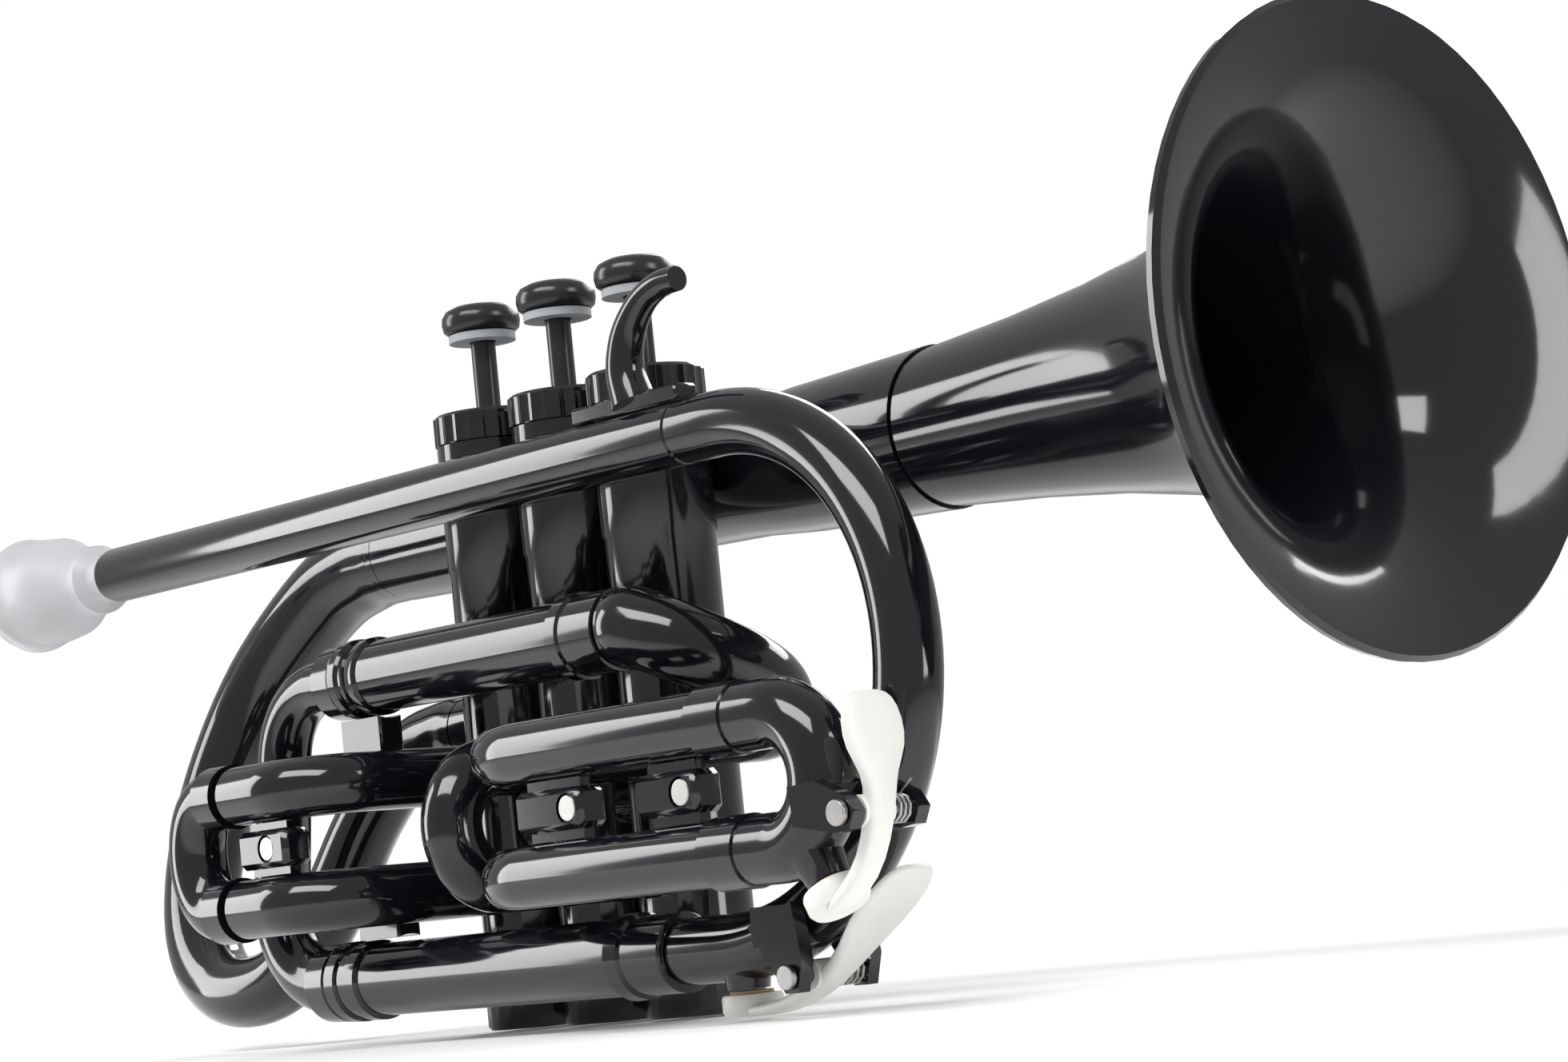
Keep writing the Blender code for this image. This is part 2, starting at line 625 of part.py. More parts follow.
def pivot_spring(name, pivot, start_y, end_y, legs):
    """A torsion spring round the pivot: curls of thin wire with two straight legs."""
    x, _, z = pivot
    curls, wire_r, curl_r = 3, 0.32, 2.5
    path = [Vector((x + legs[0][0], start_y, z + legs[0][1]))]
    for step in range(curls * 9 + 1):
        angle = 2 * math.pi * step / 9 + legs[2]
        path.append(Vector((
            x + curl_r * math.cos(angle), start_y + (end_y - start_y) * step / (curls * 9), z + curl_r * math.sin(angle),
        )))
    path.append(Vector((x + legs[1][0], end_y, z + legs[1][1])))
    gap = abs(end_y - start_y) / curls - 2 * wire_r
    print("%s: least gap between curls %.2f mm" % (name, gap))
    pipe(name, path, wire_r, STEEL, 6)


water_key(
    "slide_key", SLIDE_KEY, 3.4,
    [(-0.5, 4), (1.0, 21), (4.5, 21), (4.5, 3), (4.2, -4), (-8.0, -17.0), (-12.0, -14.5), (-1.0, -3)],
    (px - 12.5, pz - 14.3), math.radians(-28.0), "slide_key_cork",
)
water_key(
    "bow_key", BOW_KEY, 3.4,
    [(3.0, 2.0), (24.0, 18.0), (28.0, 16.5), (6.0, -2.6), (-8.0, -7.0), (-24.0, -7.2), (-24.0, -4.4), (-8.0, -4.0)],
    (74.5, -111.8), 0.0, "bow_key_cork",
)
pivot_screw("slide_key_screw", SLIDE_KEY, -65.6, -47.0)
pivot_screw("bow_key_screw", BOW_KEY, -39.6, -19.0)
pivot_spring("slide_key_spring", SLIDE_KEY, -54.2, -50.9, ((-4.4, 2.6), (3.2, 5.0), math.pi / 2))
pivot_spring("bow_key_spring", BOW_KEY, -27.0, -22.8, ((-4.0, 2.0), (4.0, 2.0), math.pi / 2))

# Finger hook on a saddle along the leadpipe
hook = block("pinky_hook", (33.0, -26.2, 6.0), (66.0, -20.3, 9.6), BLACK, 0.6)
horn, horn_r = flowing([
    (50.0, LEAD_Y, 8.0, 4.6), (48.2, LEAD_Y, 15.0, 4.0), (50.0, LEAD_Y, 22.0, 3.5),
    (55.0, LEAD_Y, 27.5, 3.0), (61.0, LEAD_Y, 30.0, 2.7), (66.5, LEAD_Y, 30.2, 2.5),
], 2)
join(hook, pipe("hook_horn", horn, horn_r, None, 12))
cut(hook, rod("hook_relief", LEAD_R + 0.3, (20, LEAD_Y, 0), (64.6, LEAD_Y, 0), sides=20))
cut(hook, rod("hook_bow_relief", BOW_R + 0.3, (60, LEAD_Y, 0), (90, LEAD_Y, 0), sides=20))

# Braces between tubes, each with its screw
BRACES = {
    "first_brace": (-50.5, -33.0, FIRST_Y, FIRST_Z, FIRST_R, -40.0),
    "third_brace_rear": (46.0, 66.0, THIRD_Y, THIRD_Z, THIRD_R, 62.0),
    "third_brace_front": (82.0, 99.5, THIRD_Y, THIRD_Z, THIRD_R, 95.0),
}
for name, (low_x, high_x, y, (high, low), radius, screw_x) in BRACES.items():
    middle = (high + low) / 2
    body = block(name, (low_x, y - 3.6, middle - 4.0), (high_x, y + 3.6, middle + 4.0), BLACK, 1.2)
    join(body, block(name + "_web", (low_x + 2, y - 1.2, low + radius - 1.5), (high_x - 2, y + 1.2, high - radius + 1.5)))
    cut(
        body,
        rod(name + "_above", radius + 0.3, (low_x - 5, y, high), (high_x + 5, y, high), sides=24),
        rod(name + "_below", radius + 0.3, (low_x - 5, y, low), (high_x + 5, y, low), sides=24),
        rod(name + "_seat", 2.9, (screw_x, y - 9, middle), (screw_x, y - 1.8, middle), sides=12),
    )
    rod(name + "_screw", 2.5, (screw_x, y - 3.4, middle), (screw_x, y - 2.1, middle), STEEL, 12)
for name, low_x, high_x, low_z, high_z, holes in (
    ("upper_brace", -46.0, -31.5, -54.0, -42.0, ((UPPER_Z, LOOP_Y, 9.1), (FIRST_Z[0], None, 0))),
    ("lower_brace", -46.0, -31.5, -95.0, -88.0, ((LOWER_Z, LOOP_Y, 9.1), (FIRST_Z[1], None, 0))),
):
    body = block(name, (low_x, LOOP_Y - 3.0, low_z), (high_x, LOOP_Y + 3.0, high_z), BLACK, 0.5)
    cut(body, rod(name + "_tube", 9.1, (low_x - 5, LOOP_Y, holes[0][0]), (high_x + 5, LOOP_Y, holes[0][0]), sides=24))
    port = [(VALVE_X[0], -12.0, holes[1][0]), (VALVE_X[0], FIRST_Y, holes[1][0]), (-60.0, FIRST_Y, holes[1][0])]
    cut(body, pipe(name + "_port", filleted(port, 14.0, 6), FIRST_R + 0.3, None, 16))
bell_brace = rod("bell_brace", 2.6, (70.0, -15.6, 0.0), (70.0, 9.5, -1.0), BLACK, 12)
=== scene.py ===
# %% [markdown]
# # A plastic cornet, dressed for a studio picture
#
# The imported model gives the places, the moving bodies and the joints. Each of its faceted
# pieces is made again here with many more sides, softened edges and a procedural finish,
# and rides on the body that its plain piece belongs to.

import json
import math

import bmesh
import bpy
from mathutils import Matrix, Vector

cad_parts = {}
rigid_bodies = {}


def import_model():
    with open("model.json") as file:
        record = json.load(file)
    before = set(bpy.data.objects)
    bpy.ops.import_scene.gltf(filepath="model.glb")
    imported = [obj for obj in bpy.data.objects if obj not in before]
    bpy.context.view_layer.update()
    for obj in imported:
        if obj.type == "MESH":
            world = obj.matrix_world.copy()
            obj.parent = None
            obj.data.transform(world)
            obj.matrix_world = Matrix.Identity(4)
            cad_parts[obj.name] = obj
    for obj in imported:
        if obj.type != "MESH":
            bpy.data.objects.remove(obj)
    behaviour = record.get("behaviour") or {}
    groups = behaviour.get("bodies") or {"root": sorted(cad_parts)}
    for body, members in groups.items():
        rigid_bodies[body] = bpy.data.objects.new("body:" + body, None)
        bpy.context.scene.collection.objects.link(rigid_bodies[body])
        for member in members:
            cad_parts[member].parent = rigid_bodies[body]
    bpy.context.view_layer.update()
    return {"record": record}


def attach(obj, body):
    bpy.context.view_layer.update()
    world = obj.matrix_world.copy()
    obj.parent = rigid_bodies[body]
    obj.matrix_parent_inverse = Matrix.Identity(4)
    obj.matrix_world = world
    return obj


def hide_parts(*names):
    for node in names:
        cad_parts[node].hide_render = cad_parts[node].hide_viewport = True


for old in list(bpy.data.objects):
    bpy.data.objects.remove(old, do_unlink=True)
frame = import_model()

# %% [markdown]
# ## Sizes
# Lengths are millimetres in the instrument's own layout: x from the mouthpiece to the bell,
# y to the player's left, z up. spot() turns them into metres in the model's frame.

# %% Driving sizes
MM = 0.001
SHIFT = Vector((-6.3, -10.25, 114.0))

# Valves
VALVE_X = (-26.6, 0.0, 26.6)
CASING_R = 11.7
COLLAR_R = 12.1
CASING_BORE_R = 9.7
PISTON_R = 9.4
STEM_R = 2.7
CAP_R = 12.5
BUTTON_R = 8.6
BUTTON_REST_Z = 37.2
CAP_TOP_Z = 19.3
FOOT_Z = -114.0

# Tubes: centre heights, offsets to the player's right, outer radii
LEAD_Y = -23.25
LEAD_R = 6.4
LOOP_Y = -30.2
UPPER_Z = -36.6
LOWER_Z = -100.7
LOOP_TUBE_R = 7.7
BOW_BEND_R = 50.35
BOW_BEND_X = 73.3
BOW_R = 6.5
MAIN_LEG_R = (5.7, 6.4)
THIRD_Y = -56.4
THIRD_Z = (-59.6, -83.5)
THIRD_R = 6.0
FIRST_Y = -55.4
FIRST_Z = (-59.2, -83.2)
FIRST_R = 6.3
SECOND_Z = (-59.4, -83.2)
ENTRY_Z = -57.0
RETURN_Z = -48.5

# Fits: how much wider a seat is than what it holds, and how a round bend is stepped
FIT = 0.3
BEND_STEPS = 32

# How many times finer the round pieces are than the plain model's
FINER = 3

# Bell
BELL_Y = 26.7
BELL_Z = -2.0
BELL_TAIL_X = -97.0
BELL_SEAM_X = 87.0
BELL_RIM_X = 197.1
BELL_RIM_R = 59.2
BELL_WALL = 1.8

# Water keys: pivot places
SLIDE_KEY = (143.0, -56.4, -79.0)
BOW_KEY = (97.0, -29.2, -106.8)

parts = bpy.data.collections.new("cornet")
cutters = bpy.data.collections.new("cutters")
bpy.context.scene.collection.children.link(parts)
bpy.context.scene.collection.children.link(cutters)


# %% [markdown]
# ## Finishes
# Gloss-black moulded plastic, frosted clear plastic, satin white, grey pads, steel and cork.
# Each is one Principled shader. A broad noise varies its colour and its roughness a little,
# because a flat colour looks like a drawing, and a fine noise raises a slight grain. The noise
# follows Object coordinates, so it stays on the piece when a joint moves it.

# %% One maker for every finish
BROAD_SCALE = 35.0
COLOUR_SWING = (0.85, 1.15)
GLOSS_SWING = (0.75, 1.35)
GRAIN_DEPTH = 0.0002


def finish_of(
    name, colour, roughness, metallic=0.0, grain=0.0, scale=900.0, clear=0.0, soft=0.0, coat=0.0,
):
    """A moulded or metal finish: noise varies its colour and roughness, and raises a fine grain."""
    material = bpy.data.materials.new(name)
    material.use_nodes = True
    nodes = material.node_tree.nodes
    link = material.node_tree.links.new
    shader = nodes["Principled BSDF"]
    shader.inputs["Metallic"].default_value = metallic
    shader.inputs["Transmission Weight"].default_value = clear
    shader.inputs["Subsurface Weight"].default_value = soft
    shader.inputs["Subsurface Radius"].default_value = (0.003, 0.003, 0.002)
    shader.inputs["Coat Weight"].default_value = coat
    shader.inputs["Coat Roughness"].default_value = 0.05
    place_of = nodes.new("ShaderNodeTexCoord")
    broad = nodes.new("ShaderNodeTexNoise")
    broad.inputs["Scale"].default_value = BROAD_SCALE
    fine = nodes.new("ShaderNodeTexNoise")
    fine.inputs["Scale"].default_value = scale
    for noise in (broad, fine):
        noise.inputs["Detail"].default_value = 4.0
        link(place_of.outputs["Object"], noise.inputs["Vector"])
    tint = nodes.new("ShaderNodeMix")
    tint.data_type = "RGBA"
    tint.inputs[6].default_value = (*[c * COLOUR_SWING[0] for c in colour], 1.0)
    tint.inputs[7].default_value = (*[min(1.0, c * COLOUR_SWING[1]) for c in colour], 1.0)
    link(broad.outputs["Fac"], tint.inputs[0])
    link(tint.outputs[2], shader.inputs["Base Color"])
    sheen = nodes.new("ShaderNodeMapRange")
    sheen.inputs["To Min"].default_value = roughness * GLOSS_SWING[0]
    sheen.inputs["To Max"].default_value = roughness * GLOSS_SWING[1]
    link(broad.outputs["Fac"], sheen.inputs["Value"])
    link(sheen.outputs["Result"], shader.inputs["Roughness"])
    bump = nodes.new("ShaderNodeBump")
    bump.inputs["Strength"].default_value = grain
    bump.inputs["Distance"].default_value = GRAIN_DEPTH
    link(fine.outputs["Fac"], bump.inputs["Height"])
    link(bump.outputs["Normal"], shader.inputs["Normal"])
    return material


# %% The finishes themselves
BLACK = finish_of("black_plastic", (0.006, 0.006, 0.009), 0.1, grain=0.02, scale=300.0, coat=0.4)
BUTTON_BLACK = finish_of("button_plastic", (0.016, 0.017, 0.018), 0.24, grain=0.05)
CLEAR = finish_of("clear_plastic", (0.74, 0.75, 0.77), 0.38, grain=0.1, clear=0.45, soft=0.1)
WHITE = finish_of("white_plastic", (0.78, 0.78, 0.74), 0.4, grain=0.06, soft=0.15)
GREY_PAD = finish_of("grey_felt", (0.42, 0.44, 0.46), 0.7, grain=0.5, scale=2500.0)
STEEL = finish_of("steel", (0.42, 0.41, 0.4), 0.3, 1.0, grain=0.08, scale=1500.0)
CORK = finish_of("cork", (0.5, 0.33, 0.19), 0.85, grain=0.6, scale=1400.0)


# %% [markdown]
# ## Helpers for shapes
# A brass-family horn is nearly all round tube. Turned pieces come from a profile and a Screw
# modifier; bent tubes come from a path with a round bevel, which keeps the section even in a
# bend. Cutters make bores, seats and holes, so a tube's mouth shows its wall.

# %% Place a piece, and the round and flat shapes
def spot(x, y, z):
    """A place of the layout, in metres in the model's frame."""
    return (Vector((x, y, z)) + SHIFT) * MM


def place(name, mesh, finish, at):
    """Puts a mesh in the scene: a piece if it has a finish, a hidden cutter if it hasn't."""
    obj = bpy.data.objects.new("look_" + name, mesh)
    obj.location = spot(*at)
    if finish is None:
        cutters.objects.link(obj)
        obj.hide_render = True
        obj.display_type = "WIRE"
    else:
        parts.objects.link(obj)
        mesh.materials.append(finish)
    return obj


def turned(name, profile, finish, at, sides=16, axis="Z", ring=True):
    """Turns (radius, height) pairs that run down the outside and up the inside.

    A ring profile closes on itself; any other starts and ends on the axis.
    """
    mesh = bpy.data.meshes.new(name)
    count = len(profile)
    edges = [(i, i + 1) for i in range(count - 1)]
    if ring:
        edges.append((count - 1, 0))
    mesh.from_pydata([(r * MM, 0.0, h * MM) for r, h in profile], edges, [])
    obj = place(name, mesh, finish, at)
    if axis == "X":
        obj.rotation_euler = (0.0, math.pi / 2, 0.0)
    elif axis == "-Y":
        obj.rotation_euler = (math.pi / 2, 0.0, 0.0)
    turn = obj.modifiers.new("turn", "SCREW")
    turn.steps = sides * FINER
    turn.render_steps = sides * FINER
    turn.use_merge_vertices = True
    turn.merge_threshold = 0.00002
    turn.use_smooth_shade = True
    return obj


def rod(name, radius, start, end, finish=None, sides=16):
    """A round bar from start to end, as one primitive cylinder."""
    a, b = Vector(start), Vector(end)
    mesh = bpy.data.meshes.new(name)
    form = bmesh.new()
    bmesh.ops.create_cone(
        form, cap_ends=True, segments=sides * 2, radius1=radius * MM,
        radius2=radius * MM, depth=(b - a).length * MM,
    )
    form.to_mesh(mesh)
    form.free()
    obj = place(name, mesh, finish, (a + b) / 2)
    obj.rotation_mode = "QUATERNION"
    obj.rotation_quaternion = Vector((0, 0, 1)).rotation_difference(b - a)
    return obj


def block(name, low, high, finish=None, round_by=0.0):
    """A box between two corners, with its edges cut off by round_by."""
    a, b = Vector(low), Vector(high)
    mesh = bpy.data.meshes.new(name)
    form = bmesh.new()
    bmesh.ops.create_cube(form, size=MM)
    bmesh.ops.scale(form, vec=b - a, verts=form.verts)
    if round_by:
        bmesh.ops.bevel(
            form, geom=form.edges[:], offset=round_by * MM, segments=1,
            affect="EDGES", profile=0.5,
        )
    form.to_mesh(mesh)
    form.free()
    return place(name, mesh, finish, (a + b) / 2)


def plate(name, outline, low_y, high_y, finish=None):
    """A flat plate in the x-z plane: the outline, given clockwise or not, thickened along y."""
    mesh = bpy.data.meshes.new(name)
    form = bmesh.new()
    first = Vector((outline[0][0], low_y, outline[0][1]))
    corners = [
        form.verts.new((Vector((x, low_y, z)) - first) * MM) for x, z in outline
    ]
    face = form.faces.new(corners)
    grown = bmesh.ops.extrude_face_region(form, geom=[face])
    moved = [item for item in grown["geom"] if isinstance(item, bmesh.types.BMVert)]
    bmesh.ops.translate(form, vec=(0, (high_y - low_y) * MM, 0), verts=moved)
    bmesh.ops.recalc_face_normals(form, faces=form.faces[:])
    form.to_mesh(mesh)
    form.free()
    return place(name, mesh, finish, first)


# %% Paths and pipes
def filleted(corners, radius, steps=8):
    """The corners joined by straight runs, each inner corner rounded to the radius."""
    path = [Vector(corners[0])]
    steps *= FINER
    for before, corner, after in zip(corners, corners[1:], corners[2:]):
        corner = Vector(corner)
        back = (Vector(before) - corner).normalized()
        on = (Vector(after) - corner).normalized()
        half = back.angle(on) / 2
        reach = radius / math.tan(half)
        start = corner + back * reach
        middle = corner + (back + on).normalized() * (radius / math.sin(half))
        spoke = start - middle
        hub = back.cross(on).normalized()
        swing = -(math.pi - 2 * half)
        side = hub.cross(spoke)
        for step in range(steps + 1):
            angle = swing * step / steps
            path.append(middle + spoke * math.cos(angle) + side * math.sin(angle))
    path.append(Vector(corners[-1]))
    kept = [path[0]]
    for point in path[1:]:
        if (point - kept[-1]).length > 0.05:
            kept.append(point)
    return kept


def flowing(stations, each=3):
    """A Catmull-Rom curve through (x, y, z, radius) stations: its points and radii."""
    each *= FINER
    rows = [Vector(s) for s in stations]
    rows = [rows[0] * 2 - rows[1]] + rows + [rows[-1] * 2 - rows[-2]]
    found = []
    for a, b, c, d in zip(rows, rows[1:], rows[2:], rows[3:]):
        for step in range(each):
            t = step / each
            found.append(
                0.5 * (
                    2 * b + (c - a) * t + (2 * a - 5 * b + 4 * c - d) * t ** 2
                    + (3 * b - a - 3 * c + d) * t ** 3
                )
            )
    found.append(rows[-2])
    return [p.to_3d() for p in found], [p[3] for p in found]


def pipe(name, path, radius, finish, sides=12):
    """A solid round bar along the path; radius is one number, or one for each point."""
    path = [Vector(p) for p in path]
    radii = [radius] * len(path) if isinstance(radius, (int, float)) else radius
    curve = bpy.data.curves.new(name, "CURVE")
    curve.dimensions = "3D"
    curve.bevel_depth = MM
    curve.bevel_resolution = (sides * (FINER if sides > 6 else 2) - 4) // 2
    curve.use_fill_caps = True
    line = curve.splines.new("POLY")
    line.points.add(len(path) - 1)
    for point, where, size in zip(line.points, path, radii):
        point.co = (*((where - path[0]) * MM), 1.0)
        point.radius = size
    guide = bpy.data.objects.new(name + "_line", curve)
    bpy.context.scene.collection.objects.link(guide)
    bpy.context.view_layer.update()
    mesh = bpy.data.meshes.new_from_object(
        guide.evaluated_get(bpy.context.evaluated_depsgraph_get())
    )
    bpy.data.objects.remove(guide, do_unlink=True)
    form = bmesh.new()
    form.from_mesh(mesh)
    bmesh.ops.remove_doubles(form, verts=form.verts, dist=0.000001)
    bmesh.ops.recalc_face_normals(form, faces=form.faces[:])
    for face in form.faces:
        face.smooth = len(face.verts) <= 4
    form.to_mesh(mesh)
    form.free()
    mesh.materials.clear()
    return place(name, mesh, finish, path[0])


# %% Cut, join and hollow
def cut(obj, *tools):
    """Takes each tool's shape away from the object."""
    for tool in tools:
        step = obj.modifiers.new("cut", "BOOLEAN")
        step.operation = "DIFFERENCE"
        step.solver = "EXACT"
        step.object = tool
    return obj


def join(obj, *tools):
    """Adds each tool's shape to the object, as one closed mesh."""
    for tool in tools:
        step = obj.modifiers.new("join", "BOOLEAN")
        step.operation = "UNION"
        step.solver = "EXACT"
        step.object = tool
    return obj


def longer(path, by=2.0):
    """The path with both ends carried on straight, for a bore that cuts right through."""
    first = path[0] + (path[0] - path[1]).normalized() * by
    last = path[-1] + (path[-1] - path[-2]).normalized() * by
    return [first] + path[1:-1] + [last]


def hollow(name, path, radius, bore, finish, sides=12, bore_sides=8):
    """A bent tube: a round bar with a bore right through it."""
    body = pipe(name, path, radius, finish, sides)
    return cut(body, pipe(name + "_bore", longer(path), bore, None, bore_sides))


# %% [markdown]
# ## Mouthpiece and leadpipe
# The mouthpiece is one moulded piece whose shank sits in the leadpipe's end. Both are round
# about one axis. A turned profile gives each lip, step and bore in one closed mesh, where
# stacked cylinders would leave seams.

# %% Mouthpiece
turned(
    "mouthpiece",
    [
        (4.7, 28.0), (5.1, 6.0), (5.2, 0.5), (5.9, -4.0), (8.2, -6.0), (8.4, -9.0),
        (7.2, -11.0), (7.8, -14.0), (10.5, -18.0), (12.2, -22.0), (12.8, -28.0),
        (12.6, -33.0), (13.7, -35.0), (14.0, -37.0), (13.2, -39.4), (11.2, -40.4),
        (9.2, -39.8), (8.3, -38.0), (8.0, -32.0), (6.6, -26.0), (3.8, -21.0),
        (1.9, -18.5), (1.9, -14.0), (3.6, 28.0),
    ],
    CLEAR, (-146.3, LEAD_Y, 0.0), sides=18, axis="X",
)

# %% Leadpipe: a straight tube with a rounded open mouth; the socket holds the shank
turned(
    "leadpipe",
    [
        (5.7, 64.9), (LEAD_R, 64.3), (LEAD_R, -144.6), (6.15, -145.8), (5.7, -146.0),
        (5.6, -145.6), (5.6, -116.0), (4.7, -114.0), (4.7, 64.9),
    ],
    BLACK, (0.0, LEAD_Y, 0.0), sides=16, axis="X",
)

# %% [markdown]
# ## Front bow
# Half a circle of tube joins the leadpipe to the lower tube. A path with rounded corners
# gives the even bend. The bracket of its water key and its drain nipple are joined on,
# because they are moulded with it.

# %% Front bow, bracket and nipple
BOW_END_X = 59.0
bow_path = filleted(
    [
        (65.2, LEAD_Y, 0.0), (BOW_BEND_X + BOW_BEND_R, LEAD_Y, 0.0),
        (BOW_BEND_X + BOW_BEND_R, LOOP_Y, LOWER_Z), (BOW_END_X, LOOP_Y, LOWER_Z),
    ],
    BOW_BEND_R, steps=9,
)
bow_radii = [BOW_R - 0.1] + [BOW_R] * (len(bow_path) - 2) + [BOW_R]
bow = hollow("front_bow", bow_path, bow_radii, 5.0, BLACK, 12, 6)
kx, ky, kz = BOW_KEY
BOW_EAR = [
    (86.5, -97.0), (99.0, -93.0), (100.6, -104.0), (98.8, -109.8), (95.4, -109.8), (92.5, -105.5),
]
join(
    bow,
    block("bow_saddle", (86.0, -38.0, -101.0), (98.0, -21.0, -93.5)),
    plate("bow_ear_near", BOW_EAR, -39.4, -36.4),
    plate("bow_ear_far", BOW_EAR, -22.0, -19.2),
    turned(
        "bow_nipple", [(0, 5), (5.2, 5), (4.2, -2.6), (0, -2.6)],
        None, (74.5, -29.9, -106.0), 12, "Z", False,
    ),
)
cut(
    bow,
    rod("bow_nipple_bore", 1.6, (74.5, -29.9, -112.0), (74.5, -29.9, -100.0), sides=8),
    rod("bow_key_bore", 1.35, (kx, -45.0, kz), (kx, -12.0, kz), sides=10),
)

# %% [markdown]
# ## Main loop
# Two straight tubes with stepped collars hold the legs of the main tuning slide. The steps
# are in the profile, so light breaks on them as it does on the moulded rings.

# %% Lower and upper tubes
turned(
    "lower_tube",
    [
        (6.9, 58.4), (7.9, 57.8), (7.9, 46.6), (8.5, 46.0), (8.7, 42.4), (LOOP_TUBE_R, 41.6),
        (LOOP_TUBE_R, -41.6), (8.5, -42.2), (8.5, -45.6), (8.0, -46.2), (8.0, -49.0),
        (8.6, -49.4), (8.6, -52.6), (8.0, -53.2), (8.5, -53.8), (8.3, -60.4), (7.4, -61.0),
        (6.6, -60.6), (6.6, 30.0), (5.2, 31.0), (5.2, 58.4),
    ],
    BLACK, (0.0, LOOP_Y, LOWER_Z), sides=16, axis="X",
)
turned(
    "upper_tube",
    [
        (7.0, 47.9), (8.3, 47.4), (8.3, 37.4), (8.8, 37.0), (8.8, 33.8), (LOOP_TUBE_R, 33.2),
        (LOOP_TUBE_R, -32.6), (8.4, -33.2), (8.4, -35.4), (8.0, -36.0), (8.0, -38.8),
        (8.6, -39.4), (8.6, -41.6), (8.0, -42.0), (8.3, -42.4), (8.0, -48.6), (7.0, -49.2),
        (5.9, -48.8), (5.9, 47.9),
    ],
    BLACK, (0.0, LOOP_Y, UPPER_Z), sides=16, axis="X",
)

# %% Main tuning slide: two legs of unlike bore and the bow that joins them
main_path = filleted(
    [
        (-20.0, LOOP_Y, UPPER_Z), (-69.5, LOOP_Y, UPPER_Z),
        (-81.5, LOOP_Y, LOWER_Z), (-22.0, LOOP_Y, LOWER_Z),
    ],
    17.0, steps=7,
)
thin, wide = MAIN_LEG_R
main_radii = []
for point in main_path:
    share = (UPPER_Z - point.z) / (UPPER_Z - LOWER_Z)
    main_radii.append(thin + (wide - thin) * min(1.0, max(0.0, share)))
hollow("main_slide", main_path, main_radii, 4.7, BLACK, 12, 6)

# %% [markdown]
# ## Elbow and rear loop
# These two tubes bend in more than one plane and change their width on the way. A smooth
# curve through a few stations, each with its own radius, follows them with few numbers.

# %% Entry elbow: from the upper tube round the front of the third valve
ELBOW_BEND_R = -LOOP_Y / 2
ELBOW_REACH = 11.0
elbow = [
    (48.4, LOOP_Y, UPPER_Z, 7.9), (50.0, LOOP_Y, UPPER_Z, 7.9), (52.0, LOOP_Y, UPPER_Z - 0.2, 8.0),
]
for step in range(1, 7):
    turn_angle = math.pi * step / 6 - math.pi / 2
    elbow.append((
        54.0 + ELBOW_REACH * math.cos(turn_angle),
        -ELBOW_BEND_R + ELBOW_BEND_R * math.sin(turn_angle),
        UPPER_Z + (ENTRY_Z - UPPER_Z) * step / 6,
        8.0 - 0.1 * step,
    ))
elbow.append((42.5, 0.0, ENTRY_Z, 7.3))
elbow_path, elbow_radii = flowing(elbow, 2)
hollow("entry_elbow", elbow_path, elbow_radii, 5.2, BLACK, 12, 6)

# %% Rear loop: the bell's tail swings back, down and forward into the first valve
rear_path, rear_radii = flowing([
    (BELL_TAIL_X - 0.4, BELL_Y, BELL_Z, 11.1), (-99.0, BELL_Y, BELL_Z, 11.1),
    (-101.0, BELL_Y, BELL_Z, 11.1), (-112.0, 26.4, -3.0, 10.9), (-128.0, 24.0, -9.0, 10.5),
    (-146.4, 17.2, -27.0, 10.0), (-155.0, 8.2, -50.0, 9.5), (-154.0, -0.6, -72.0, 9.1),
    (-145.0, -7.8, -90.0, 8.7), (-128.5, -11.8, -100.4, 8.3), (-108.0, -11.0, -98.6, 8.0),
    (-92.5, -8.0, -85.0, 7.8), (-79.5, -4.0, -65.5, 7.6), (-65.0, -1.0, -52.0, 7.5),
    (-52.0, 0.0, RETURN_Z, 7.4), (-45.5, 0.0, RETURN_Z, 7.3), (-42.9, 0.0, RETURN_Z, 7.3),
], 2)
hollow("rear_loop", rear_path, rear_radii, [r - 1.9 for r in rear_radii], BLACK, 14, 6)

# %% [markdown]
# ## Bell
# The bell is a slow taper and then a flare that opens faster and faster. A power law has
# just that shape and needs two numbers. The wall is offset along the outline's slope, so it
# stays even, and a bead makes the rolled rim.

# %% Bell throat and flare
FLARE_REACH = 8.0
FLARE_POWER = 0.48


def flare_radius(x):
    """The bell's outer radius at x, which grows as a power of the distance to the rim."""
    return BELL_RIM_R * (FLARE_REACH / (BELL_RIM_X + FLARE_REACH - x)) ** FLARE_POWER


throat = [(16.8, BELL_SEAM_X - 0.2), (15.4, 46.0), (14.1, 30.0), (12.6, -40.0), (11.2, BELL_TAIL_X)]
turned(
    "bell_throat", throat + [(r - BELL_WALL, x) for r, x in reversed(throat)],
    BLACK, (0.0, BELL_Y, BELL_Z), sides=16, axis="X",
)
flare_x = [196.2, 194.5, 192.0, 188.0, 183.0, 176.0, 166.0, 152.0, 134.0, 112.0, BELL_SEAM_X + 0.3]
outer = [(flare_radius(x), x) for x in flare_x]
inner = []
for index, (r, x) in enumerate(outer):
    before = outer[max(index - 1, 0)]
    after = outer[min(index + 1, len(outer) - 1)]
    slope = Vector((before[0] - after[0], before[1] - after[1])).normalized()
    inner.append((r - slope.y * BELL_WALL, x + slope.x * BELL_WALL))
inner[-1] = (outer[-1][0] - BELL_WALL, outer[-1][1])
bead = [(58.5, 199.0), (59.6, 199.3), (60.6, 198.2), (60.4, 196.8), (59.0, 196.2)]
